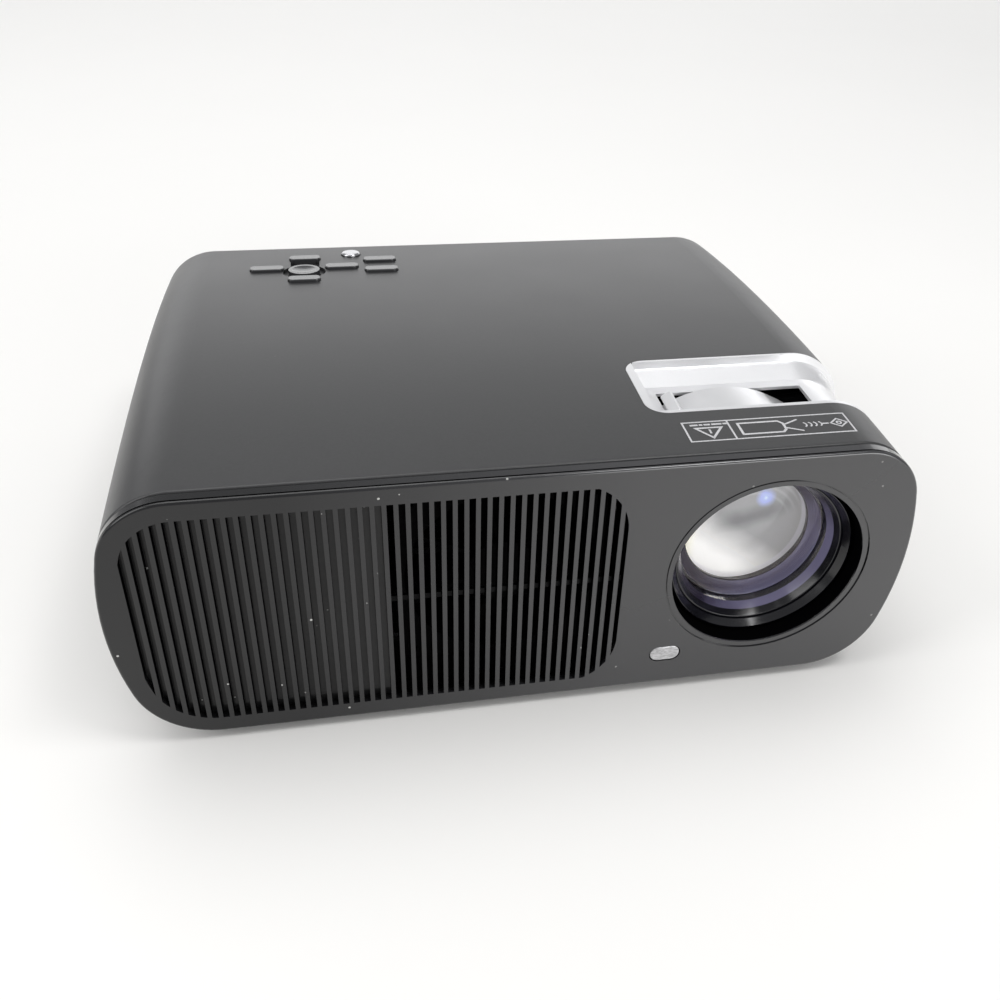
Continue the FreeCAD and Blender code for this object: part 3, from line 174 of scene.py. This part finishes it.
def gloss_black(low, high, lens_centre):
    """High-gloss front: scratches and dust on the face; the slots and lens hole rough and painted near black
    as shade; a painted shadow line round the edge; painted shade darkening the face towards the left.
    """
    tone = (0.026, 0.026, 0.028)
    finish = Finish("front_gloss", tone, 0.18, Coat_Weight=0.5, Coat_Roughness=0.05)
    across, up, along = finish.around([(a + b) / 2 for a, b in zip(low, high)])
    depth = finish.math("SUBTRACT", along, low[1])
    normal = finish.nodes.new("ShaderNodeNewGeometry").outputs["Normal"]
    facing = finish.node("ShaderNodeSeparateXYZ", Vector=normal)
    # Painted shade in the slots: side walls, blind slot floors and everything deeper are masked to be painted
    # near black, only partly on the blind floors at the left.
    side_wall = finish.remap(finish.math("ABSOLUTE", facing.outputs["X"], 0), 0.97, 0.99, 0, 1)
    slot_wall = finish.math("MULTIPLY", finish.remap(depth, 0.06 * MM, 0.2 * MM, 0, 1), side_wall)
    slot = finish.math("MAXIMUM", finish.remap(depth, 3.5 * MM, 3.8 * MM, 0, 1), slot_wall)
    slot_floor = finish.remap(depth, 2.4 * MM, 2.9 * MM, 0, 1)
    open_row = finish.remap(across, -55 * MM, -54 * MM, 0.3, 0.8)
    slot = finish.math("MAXIMUM", slot, finish.math("MULTIPLY", slot_floor, open_row))
    # Painted shade on the wall of the lens hole.
    from_lens = finish.length(*finish.around(lens_centre)[:2])
    lens_hole = finish.math("MULTIPLY", finish.remap(from_lens, 40 * MM, 40.5 * MM, 1, 0),
                            finish.remap(depth, 0.6 * MM, 1.2 * MM, 0, 1))
    slot = finish.math("MAXIMUM", slot, lens_hole)
    shadow_line = finish.math("MULTIPLY", finish.remap(depth, 1.1 * MM, 1.25 * MM, 0, 1),
                              finish.remap(depth, 1.9 * MM, 2.05 * MM, 1, 0))
    panel_corner = 34 * MM
    edge = finish.rounded_edge(across, up, (high[0] - low[0]) / 2, (high[2] - low[2]) / 2, panel_corner)
    rim = finish.remap(edge, -6.5 * MM, -6 * MM, 0, 1)
    # Painted shade: the shadow line within 6 mm of the edge, the slot and lens hole shade further in.
    painted_shade = finish.math("ADD", finish.math("MULTIPLY", rim, shadow_line),
                         finish.math("MULTIPLY", finish.math("SUBTRACT", 1, rim), slot))
    scratch = finish.remap(finish.noise(240, 2, 0.5, (1, 1, 14)), 0.62, 0.7, 0, 1)
    smear = finish.remap(finish.noise(28, 3), 0.35, 0.7, 0.16, 0.22)
    sheen = finish.math("ADD", smear, finish.math("MULTIPLY", scratch, 0.04))
    finish.roughness(finish.math("ADD", sheen, finish.math("MULTIPLY", painted_shade, 0.6)))
    # Painted shade: a ramp across the face, darker at the left. The same ramp thins the real dust towards the
    # right and weakens reflections towards the left.
    shade_and_dust_ramp = finish.remap(across, -90 * MM, 40 * MM, 0, 1)
    speck = finish.remap(finish.cells(115), 0.045, 0.06, 1, 0)
    patch = finish.math("MULTIPLY", finish.remap(finish.noise(45, 2), 0.44, 0.52, 0, 0.9),
                        finish.remap(shade_and_dust_ramp, 0.6, 1, 1, 0.35))
    # Painted shade: base colour runs from 0.35 of the tone at the left to 1.1 of it at the right.
    base = finish.mix(shade_and_dust_ramp, [c * 0.35 for c in tone], [c * 1.1 for c in tone])
    # Real dust specks laid over the painted shade.
    dust_and_painted_shade = finish.mix(finish.math("MULTIPLY", speck, patch), base, (0.5, 0.5, 0.48))
    # Painted shade: slots, lens hole and the shadow line are painted near black.
    finish.colour(finish.mix(painted_shade, dust_and_painted_shade, (0.0015, 0.0015, 0.0018)))
    polish = finish.remap(shade_and_dust_ramp, 0, 1, 0.32, 0.55)
    for socket in ("Specular IOR Level", "Coat Weight"):
        finish.links.new(finish.math("MULTIPLY", polish, finish.math("SUBTRACT", 1, painted_shade)),
                         finish.shader.inputs[socket])
    finish.bump(finish.noise(420, 2), 0.003 * MM)
    return finish.material


def silver_paint():
    """Sprayed silver: fine metal flake under a satin clear coat."""
    finish = Finish("silver_paint", (0.78, 0.78, 0.79), 0.3, Metallic=0.6,
                    Coat_Weight=0.25, Coat_Roughness=0.28)
    flake = finish.remap(finish.cells(5200), 0.1, 0.7, 0, 1)
    finish.colour(finish.mix(flake, (0.81, 0.81, 0.82), (0.77, 0.77, 0.78)))
    finish.roughness(finish.remap(finish.noise(300, 2), 0.3, 0.7, 0.29, 0.33))
    return finish.material


def turned_black(name, tone, rough):
    """Black lathe-turned part: fine rings about the lens axis."""
    finish = Finish(name, tone, rough, Coat_Weight=0.2, Coat_Roughness=0.12)
    finish.roughness(finish.remap(finish.noise(160, 3), 0.3, 0.7, rough * 0.8, rough * 1.3))
    finish.bump(finish.noise(2600, 1, 0.5, (0.02, 1, 0.02)), 0.002 * MM)
    return finish.material


def metal(name, tone, rough, stretch=(1, 1, 1)):
    """Bare or plated metal with fine streaks; stretch draws them out along one axis."""
    finish = Finish(name, tone, rough, Metallic=1.0)
    streak = finish.noise(900, 3, 0.6, stretch)
    finish.colour(finish.mix(finish.remap(streak, 0.3, 0.7, 0, 1), [c * 0.85 for c in tone],
                             [min(c * 1.1, 1) for c in tone]))
    finish.roughness(finish.remap(streak, 0.3, 0.7, rough * 0.75, rough * 1.3))
    finish.bump(streak, 0.004 * MM)
    return finish.material


def coated_glass():
    """Front element: clear glass with a faint bluish anti-reflection film and fine dust."""
    finish = Finish("coated_glass", (0.96, 0.97, 1.0), 0.01, IOR=1.5, Transmission_Weight=1.0,
                    Thin_Film_Thickness=120.0, Thin_Film_IOR=1.38)
    finish.roughness(finish.remap(finish.noise(300, 4), 0.45, 0.75, 0.0, 0.035))
    return finish.material


def inner_glass(centre):
    """Deep lens element: a painted milky reflection that also glows, brightest at the lower left, with
    painted rings and a painted blue glint near the top.
    """
    finish = Finish("inner_glass", (0.5, 0.5, 0.5), 0.16, Coat_Weight=0.5, Coat_Roughness=0.05)
    across, up, _ = finish.around(centre)

    def along(u, v):
        return finish.math("ADD", finish.math("MULTIPLY", across, u), finish.math("MULTIPLY", up, v))

    def distance(u, v):
        return finish.length(finish.math("SUBTRACT", across, u), finish.math("SUBTRACT", up, v))

    # Painted reflection: a light gradient, brightest at the lower left, with edges wobbled by noise.
    reflection_wobble = finish.math("MULTIPLY", finish.math("SUBTRACT", finish.noise(60, 3), 0.5), 0.006)
    slant = finish.math("ADD", along(-0.62, -0.78), reflection_wobble)
    tone = finish.mix(finish.remap(slant, 0.001, 0.018, 0, 1), (0.29, 0.285, 0.275), (1.0, 0.97, 0.91))
    # Painted darker streak across the middle of the reflection.
    band = finish.math("SUBTRACT", finish.math("ADD", along(-0.26, 1), reflection_wobble), 0.004)
    streak = finish.remap(finish.math("ABSOLUTE", band, 0), 0.001, 0.006, 0.85, 0)
    reach = finish.math("MULTIPLY", finish.remap(across, -0.014, -0.004, 0, 1),
                        finish.remap(across, 0.01, 0.02, 1, 0.2))
    tone = finish.mix(finish.math("MULTIPLY", streak, reach), tone, (0.13, 0.13, 0.125))
    # Painted reflections: thin light rings in the upper half.
    for radius in (0.0175, 0.0205, 0.0232):
        ring = finish.math("ABSOLUTE", finish.math("SUBTRACT", distance(0.002, -0.003), radius), 0)
        upper = finish.remap(up, 0.002, 0.01, 0, 0.16)
        trace = finish.math("MULTIPLY", finish.remap(ring, 0, 0.0009, 1, 0), upper)
        tone = finish.mix(trace, tone, (0.75, 0.75, 0.74))
    # Painted highlight: a blue glint with a whiter centre.
    glint = finish.math("ADD", distance(0.0076, 0.0122), reflection_wobble)
    tone = finish.mix(finish.remap(glint, 0.0008, 0.005, 1, 0), tone, (0.45, 0.54, 1.0))
    tone = finish.mix(finish.remap(glint, 0.0, 0.0018, 1, 0), tone, (0.85, 0.9, 1.0))
    # Painted highlight round the rim, then a painted yellow reflection at the far left.
    tone = finish.mix(finish.remap(distance(0, 0), 0.0243, 0.0252, 0, 0.35), tone, (0.72, 0.7, 0.76))
    tone = finish.mix(finish.remap(across, -0.0245, -0.0185, 0.8, 0), tone, (0.9, 0.86, 0.5))
    return finish.painted_glow(tone, 0.6).material


def painted_violet_reflection(finish, across, up):
    """Painted violet reflection of the coated glass, strongest at the lower right."""
    side = finish.math("ADD", finish.math("MULTIPLY", across, 0.75), finish.math("MULTIPLY", up, -0.66))
    reflection_wobble = finish.math("MULTIPLY", finish.math("SUBTRACT", finish.noise(110, 4), 0.5), 0.016)
    lit = finish.remap(finish.math("ADD", side, reflection_wobble), 0.002, 0.024, 0, 1)
    return finish.mix(lit, (0.011, 0.009, 0.017), (0.082, 0.076, 0.125))


def painted_violet_wall(centre):
    """Inside of the barrel behind the front element, painted with the violet reflection of the coated glass
    before it, and glowing.
    """
    finish = Finish("painted_violet_wall", (0.03, 0.03, 0.05), 0.35, Coat_Weight=0.3, Coat_Roughness=0.15)
    across, up, _ = finish.around(centre)
    return finish.painted_glow(painted_violet_reflection(finish, across, up), 0.75).material


def ring_black(low, high):
    """Turned black ring whose deeper half carries a painted violet reflection of the coated glass behind it,
    with a painted glow.
    """
    finish = Finish("ring_black", (0.006, 0.006, 0.008), 0.2, Coat_Weight=0.2, Coat_Roughness=0.12)
    across, up, along = finish.around([(a + b) / 2 for a, b in zip(low, high)])
    deep = finish.remap(along, low[1] + 2.7 * MM, low[1] + 3 * MM, 0, 1)
    # Painted reflection: near black at the front, the painted violet reflection on the deeper half, also
    # glowing.
    finish.painted_glow(finish.mix(deep, (0.003, 0.003, 0.004), painted_violet_reflection(finish, across, up)), 0.75)
    finish.roughness(finish.remap(finish.noise(160, 3), 0.3, 0.7, 0.14, 0.24))
    finish.bump(finish.noise(2600, 1, 0.5, (0.02, 1, 0.02)), 0.002 * MM)
    return finish.material


def clear_window(low, high):
    """Receiver window: bright bevelled rim round a ribbed silvery field."""
    finish = Finish("window_clear", (0.75, 0.75, 0.76), 0.1, Metallic=0.5,
                    Coat_Weight=1.0, Coat_Roughness=0.04)
    across, up, _ = finish.around([(a + b) / 2 for a, b in zip(low, high)])
    half_width, half_height = (high[0] - low[0]) / 2, (high[2] - low[2]) / 2
    edge = finish.rounded_edge(across, up, half_width, half_height, half_height)
    rib = finish.noise(700, 2, 0.5, (1, 1, 3))
    field = finish.mix(finish.remap(rib, 0.4, 0.6, 0, 1), (0.38, 0.38, 0.39), (0.6, 0.6, 0.61))
    bevel = 1.3 * MM
    from_bevel = finish.math("ABSOLUTE", finish.math("ADD", edge, bevel), 0)
    line = finish.remap(from_bevel, 0.1 * MM, 0.3 * MM, 1, 0)
    rim = finish.mix(finish.remap(edge, -bevel - 0.2 * MM, -bevel, 0, 1), field, (0.9, 0.9, 0.91))
    finish.colour(finish.mix(line, rim, (0.2, 0.2, 0.2)))
    finish.roughness(finish.remap(finish.noise(700, 3), 0.3, 0.7, 0.12, 0.24))
    finish.bump(rib, 0.05 * MM)
    return finish.material


def circuit_board():
    """Green solder mask over copper tracks."""
    finish = Finish("circuit_board", (0.015, 0.11, 0.045), 0.35, Coat_Weight=0.4, Coat_Roughness=0.15)
    tracks = finish.remap(finish.cells(420, 0.35), 0.28, 0.34, 0, 1)
    finish.colour(finish.mix(tracks, (0.03, 0.19, 0.08), (0.012, 0.085, 0.035)))
    finish.roughness(finish.remap(finish.noise(300, 3), 0.3, 0.7, 0.28, 0.42))
    finish.bump(tracks, 0.02 * MM)
    return finish.material


def soft_rubber():
    """Black rubber, matt and slightly grained."""
    finish = Finish("rubber_black", (0.02, 0.02, 0.021), 0.75)
    finish.colour(finish.mix(finish.noise(90, 4), (0.014, 0.014, 0.015), (0.04, 0.04, 0.038)))
    finish.roughness(finish.remap(finish.noise(500, 3), 0.3, 0.7, 0.62, 0.86))
    finish.bump(finish.cells(1400), 0.04 * MM)
    return finish.material


def foam():
    """Open-pored filter foam."""
    finish = Finish("filter_foam", (0.06, 0.06, 0.062), 0.95)
    pores = finish.remap(finish.cells(700), 0.15, 0.5, 0, 1)
    finish.colour(finish.mix(pores, (0.01, 0.01, 0.01), (0.09, 0.09, 0.092)))
    finish.bump(pores, 0.3 * MM)
    return finish.material


def print_ink():
    """Screen-printed light grey ink with slightly uneven cover."""
    finish = Finish("print_ink", (0.55, 0.55, 0.56), 0.5)
    cover = finish.remap(finish.noise(1800, 3), 0.35, 0.65, 0, 1)
    finish.colour(finish.mix(cover, (0.4, 0.4, 0.41), (0.62, 0.62, 0.63)))
    finish.roughness(finish.remap(finish.noise(600, 2), 0.3, 0.7, 0.42, 0.6))
    return finish.material


def plain_glass(name, tone, rough):
    """Uncoated optical plate, slightly hazy."""
    finish = Finish(name, tone, rough, Transmission_Weight=0.9, IOR=1.5)
    finish.roughness(finish.remap(finish.noise(400, 3), 0.4, 0.75, rough, rough + 0.05))
    return finish.material


def lamp_phosphor():
    """Yellow phosphor cells of the lamp."""
    finish = Finish("lamp_phosphor", (0.8, 0.62, 0.12), 0.6)
    finish.colour(finish.mix(finish.cells(900), (0.85, 0.7, 0.15), (0.7, 0.52, 0.08)))
    finish.bump(finish.cells(900), 0.05 * MM)
    return finish.material


def dress_nodes():
    """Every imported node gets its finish."""
    lens_low, lens_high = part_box("rear_lens")
    lens_centre = (Vector(lens_low) + Vector(lens_high)) / 2
    case = moulded("case_black", (0.03, 0.03, 0.031), 0.36, dust=0.3)
    key = moulded("key_grey", (0.032, 0.032, 0.034), 0.26, relief=0.004 * MM,
                  Coat_Weight=0.5, Coat_Roughness=0.1)
    dark = moulded("inner_black", (0.004, 0.004, 0.0045), 0.7, Specular_IOR_Level=0.1)
    glass = plain_glass("optical_plate", (0.9, 0.93, 0.95), 0.02)
    steel = metal("plated_steel", (0.62, 0.62, 0.64), 0.3, (1, 12, 1))
    board = circuit_board()
    finishes = {
        case: ["top_cover", "bottom_cover", "rear_panel"],
        gloss_black(*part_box("front_panel"), lens_centre): ["front_panel"],
        silver_paint(): ["control_recess", "focus_ring"],
        key: [n for n in NODES if n.startswith("key_")],
        metal("power_chrome", (0.5, 0.5, 0.52), 0.16): ["power_button"],
        board: ["keypad_board", "main_board", "power_board"],
        clear_window(*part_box("sensor_window")): ["sensor_window"],
        turned_black("barrel_black", (0.004, 0.004, 0.006), 0.16): ["lens_barrel"],
        ring_black(*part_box("lens_retaining_ring")): ["lens_retaining_ring"],
        coated_glass(): ["front_lens"],
        inner_glass(lens_centre): ["rear_lens"],
        glass: ["rear_fresnel", "lcd_panel", "front_fresnel", "heat_glass", "condenser_lens"],
        metal("mirror_silver", (0.93, 0.93, 0.95), 0.03): ["folding_mirror"],
        metal("cooler_metal", (0.7, 0.71, 0.73), 0.35, (1, 1, 18)): ["lamp_cooler", "chip_cooler"],
        lamp_phosphor(): ["led_module"],
        dark: ["lens_housing", "optical_case", "exhaust_fan_frame", "intake_fan_frame", "exhaust_fan_rotor",
               "intake_fan_rotor", "sensor_receiver", "board_chips", "speaker_left", "speaker_right"],
        steel: ["hdmi_ports", "usb_ports", "lift_stud", "board_tray"],
        metal("blackened_screws", (0.18, 0.18, 0.19), 0.38): ["case_screws", "inlet_screws"],
        metal("insert_brass", (0.72, 0.52, 0.22), 0.3): ["ceiling_inserts"],
        moulded("jack_black", (0.02, 0.02, 0.021), 0.5): ["audio_jacks", "power_inlet", "lift_wheel"],
        moulded("connector_blue", (0.02, 0.05, 0.3), 0.45): ["vga_port"],
        moulded("coil_tape", (0.65, 0.5, 0.06), 0.4): ["transformer"],
        moulded("capacitor_sleeve", (0.03, 0.04, 0.08), 0.3): ["capacitors"],
        foam(): ["dust_filter"],
        soft_rubber(): ["rubber_feet"],
    }
    for material, names in finishes.items():
        for name in names:
            slots = NODES[name].material_slots
            for slot in slots:
                slot.material = material
            if not slots:
                NODES[name].data.materials.append(material)


# ---------------------------------------------------------------- printed lines on the top cover

def surface_of(name):
    """Ray-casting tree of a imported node."""
    work = bmesh.new()
    work.from_mesh(NODES[name].data)
    tree = BVHTree.FromBMesh(work)
    work.free()
    return tree


def drop_on(tree, x, y, lift):
    """Point of the surface straight below (x, y), lifted along its normal."""
    spot, normal, *_ = tree.ray_cast(Vector((x, y, 1)), Vector((0, 0, -1)))
    return spot + normal * lift


def ribbon(work, tree, points, width, closed, lift):
    """Flat printed stroke of constant width that follows the surface."""
    count = len(points)
    flat = [Vector(p) for p in points]
    rings = []
    for i, here in enumerate(flat):
        before = flat[(i - 1) % count] if closed or i else None
        after = flat[(i + 1) % count] if closed or i < count - 1 else None
        into = (here - before).normalized() if before is not None else (after - here).normalized()
        out = (after - here).normalized() if after is not None else into
        side = Vector((-(into + out).y, (into + out).x)).normalized()
        reach = width / 2 / max(0.4, side.dot(Vector((-out.y, out.x))))
        rings.append([work.verts.new(drop_on(tree, *(here + side * s * reach), lift)) for s in (-1, 1)])
    for i in range(count if closed else count - 1):
        a, b = rings[i], rings[(i + 1) % count]
        work.faces.new((a[0], b[0], b[1], a[1]))


def arc_points(centre, radius, start, stop, count):
    """Points of an arc between two angles in degrees."""
    return [(centre[0] + radius * math.cos(math.radians(start + (stop - start) * i / (count - 1))),
             centre[1] + radius * math.sin(math.radians(start + (stop - start) * i / (count - 1))))
            for i in range(count)]


def divided(points, pieces, closed):
    """The same stroke with extra points along each straight run, so that it can follow a curved surface."""
    result = []
    ends = points[1:] + points[:1] if closed else points[1:]
    for a, b in zip(points, ends):
        for i in range(pieces):
            result.append((a[0] + (b[0] - a[0]) * i / pieces, a[1] + (b[1] - a[1]) * i / pieces))
    return result if closed else result + [points[-1]]


def print_on_top(material):
    """Line box in front of the recess: a triangle mark with dashes, then a beam that reaches an eye."""
    low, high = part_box("control_recess")
    left, right = low[0] + 10.4 * MM, low[0] + 76.9 * MM
    back = low[1] - 8.3 * MM
    front = back - 13.4 * MM
    divide = left + 18 * MM
    middle = (front + back) / 2
    tree = surface_of("top_cover")
    work = bmesh.new()
    lift = 0.06 * MM
    line = 0.75 * MM

    def stroke(points, closed=False, width=line, pieces=28):
        ribbon(work, tree, divided(points, pieces, closed), width, closed, lift)

    def arc(centre, radius, start, stop, count, width, closed=False):
        ribbon(work, tree, arc_points(centre, radius, start, stop, count), width, closed, lift)

    stroke([(left, front), (right, front), (right, back), (left, back)], True)
    stroke([(divide, front), (divide, back)])
    peak = left + 9.4 * MM
    stroke([(peak, front + 1.9 * MM), (peak + 5.2 * MM, back - 4.4 * MM), (peak - 5.2 * MM, back - 4.4 * MM)],
           True, 0.95 * MM)
    stroke([(peak, front + 5 * MM), (peak, back - 5.6 * MM)], False, 0.8 * MM, 2)
    x = left + 2.6 * MM
    for dash in (3.2, 1.4, 2.6, 4.1, 1.8):
        stroke([(x, back - 2.1 * MM), (x + dash * MM, back - 2.1 * MM)], False, 1.1 * MM, 6)
        x += (dash + 0.5) * MM
    body, end, half = divide + 3.6 * MM, divide + 21.5 * MM, 3.9 * MM
    stroke([(body, middle - half), (end - 1.6 * MM, middle - half), (end, middle - half + 1.8 * MM),
            (end, middle + half - 1.8 * MM), (end - 1.6 * MM, middle + half), (body, middle + half)],
           True, 1.0 * MM)
    for side in (-1, 1):
        stroke([(end + 0.2 * MM, middle + side * 1.1 * MM), (end + 6.6 * MM, middle + side * 4.1 * MM)],
               False, 0.8 * MM)
    for i in range(4):
        arc((end + (7.4 + 2.1 * i) * MM, middle), 1.7 * MM, -62, 62, 7, 0.65 * MM)
    stroke([(end + 15.2 * MM, middle), (end + 18.4 * MM, middle)], False, 0.8 * MM)
    eye = (end + 22.6 * MM, middle)
    stroke([(eye[0] - 3.4 * MM, middle), (eye[0], middle - 2.9 * MM), (eye[0] + 3.4 * MM, middle),
            (eye[0], middle + 2.9 * MM)], True, 0.7 * MM)
    arc(eye, 0.9 * MM, 0, 330, 12, 0.7 * MM, True)
    build("top_print", work, material, "case")


def build(name, work, material, body):
    """Turns a bmesh into a named piece that rides on a body."""
    mesh = bpy.data.meshes.new(name)
    bmesh.ops.recalc_face_normals(work, faces=work.faces)
    work.to_mesh(mesh)
    work.free()
    piece = bpy.data.objects.new(name, mesh)
    bpy.context.scene.collection.objects.link(piece)
    mesh.materials.append(material)
    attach(piece, body)
    return piece


# ---------------------------------------------------------------- lens details

def revolve(profile, centre, steps=128):
    """Surface of revolution about a line along Y through centre; profile is (radius, y) pairs."""
    work = bmesh.new()
    rings = []
    for radius, y in profile:
        rings.append([work.verts.new((centre.x + radius * math.cos(2 * math.pi * i / steps), y,
                                      centre.z + radius * math.sin(2 * math.pi * i / steps)))
                      for i in range(steps)])
    for a, b in zip(rings, rings[1:]):
        for i in range(steps):
            j = (i + 1) % steps
            work.faces.new((a[i], a[j], b[j], b[i]))
    for face in work.faces:
        face.smooth = True
    return work


def lens_baffle():
    """Ridged liner between the front and the deep element, ending in a flat ring round the deep one."""
    glass_low, glass_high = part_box("front_lens")
    deep_low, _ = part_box("rear_lens")
    centre = (Vector(glass_low) + Vector(glass_high)) / 2
    start, stop = glass_high[1] + 0.6 * MM, deep_low[1] - 1.9 * MM
    outer = 29.9 * MM
    ridges = 5
    step = (stop - start) / ridges
    profile = [(outer, start)]
    for i in range(ridges):
        depth = start + step * i
        profile += [(outer - 0.5 * MM, depth + step * 0.15), (outer - 0.6 * MM, depth + step * 0.7),
                    (outer - 0.3 * MM, depth + step * 0.85)]
    profile += [(26 * MM, stop - 0.3 * MM), (25.9 * MM, stop), (outer, stop), (outer, start)]
    build("lens_baffle", revolve(profile, centre), painted_violet_wall(centre), "lens_group")


def close_recess_end():
    """Thin skin that carries the recess floor round its right end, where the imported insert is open."""
    low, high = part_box("control_recess")
    corner, side = 26.4 * MM, 134.9 * MM
    across, level = high[0] - 28 * MM, 78.7 * MM
    start, turn, stop = [math.radians(angle) for angle in (73.3, 8.4, 5.7)]
    middle = (across + (corner - side) * math.cos(turn), level + (corner - side) * math.sin(turn))
    corner_steps, side_steps, rows = 24, 4, 30
    profile = []
    for i in range(corner_steps + 1):
        angle = start + (turn - start) * i / corner_steps
        profile.append((across + corner * math.cos(angle), level + corner * math.sin(angle), math.sin(angle)))
    for i in range(1, side_steps + 1):
        angle = turn + (stop - turn) * i / side_steps
        profile.append((middle[0] + side * math.cos(angle), middle[1] + side * math.sin(angle), 0))
    front, foot, back = low[1] + 2.3 * MM, high[1] - 10 * MM, high[1] - 2.3 * MM
    climb = 0.455
    ys = [front + (back - front) * j / rows for j in range(rows + 1)]
    work = bmesh.new()
    grid = []
    for x, z, steep in profile:
        grid.append([work.verts.new((x, y, z + max(0, y - foot) * climb * steep)) for y in ys])
    for a, b in zip(grid, grid[1:]):
        for j in range(rows):
            work.faces.new((a[j], b[j], b[j + 1], a[j + 1])).smooth = True
    build("recess_end_skin", work, NODES["control_recess"].data.materials[0], "case")


# ---------------------------------------------------------------- stage, light and camera

def make_stage():
    finish = Finish("floor_pale", (0.88, 0.87, 0.85), 0.5)
    finish.colour(finish.mix(finish.noise(3, 3), (0.87, 0.86, 0.84), (0.9, 0.89, 0.87)))
    finish.bump(finish.noise(160, 3), 0.05 * MM)
    work = bmesh.new()
    bmesh.ops.create_grid(work, x_segments=24, y_segments=24, size=6)
    mesh = bpy.data.meshes.new("floor")
    work.to_mesh(mesh)
    work.free()
    floor = bpy.data.objects.new("floor", mesh)
    bpy.context.scene.collection.objects.link(floor)
    mesh.materials.append(finish.material)


def area_light(name, place, target, size, power):
    data = bpy.data.lights.new(name, "AREA")
    data.shape = "RECTANGLE"
    data.size, data.size_y = size
    data.energy = power
    lamp = bpy.data.objects.new(name, data)
    lamp.location = place
    lamp.rotation_euler = (Vector(target) - Vector(place)).to_track_quat("-Z", "Y").to_euler()
    bpy.context.scene.collection.objects.link(lamp)


def make_light():
    world = bpy.data.worlds.new("studio")
    world.use_nodes = True
    world.node_tree.nodes["Background"].inputs["Color"].default_value = (0.97, 0.98, 1.0, 1)
    world.node_tree.nodes["Background"].inputs["Strength"].default_value = 0.4
    bpy.context.scene.world = world
    area_light("ceiling", (-0.3, 0.4, 1.8), (0, 0, 0), (1.6, 1.2), 13)
    area_light("window", (-1.4, -0.3, 1.0), (0, 0, 0.05), (0.9, 1.2), 9.5)
    area_light("back_wall", (0.4, 2.3, 0.62), (0, 0, 0.1), (4.4, 1.1), 17)
    area_light("overhead", (0.55, -0.45, 1.5), (0.1, -0.12, 0.05), (0.5, 0.36), 6)
    area_light("right_fill", (1.1, -1.7, 0.5), (0, -0.1, 0.05), (1.5, 0.8), 19)
    view = bpy.context.scene.view_settings
    view.view_transform = "Standard"


def make_camera():
    """Camera of the fitted view: turn, tilt and roll about the lens."""
    data = bpy.data.cameras.new("camera")
    data.sensor_width = 36
    data.lens = 38.49
    data.shift_x, data.shift_y = -0.0565, 0.0013
    data.clip_start, data.clip_end = 0.01, 50
    yaw, pitch, roll = -0.237, 0.623, 0.062
    turn = (Matrix.Rotation(yaw, 3, "Z") @ Matrix.Rotation(math.pi / 2 - pitch, 3, "X")
            @ Matrix.Rotation(roll, 3, "Z"))
    camera = bpy.data.objects.new("camera", data)
    camera.matrix_world = Matrix.Translation((-0.0663, -0.4282, 0.3266)) @ turn.to_4x4()
    bpy.context.scene.collection.objects.link(camera)
    bpy.context.scene.camera = camera


dress_nodes()
print_on_top(print_ink())
lens_baffle()
close_recess_end()
make_stage()
make_light()
make_camera()
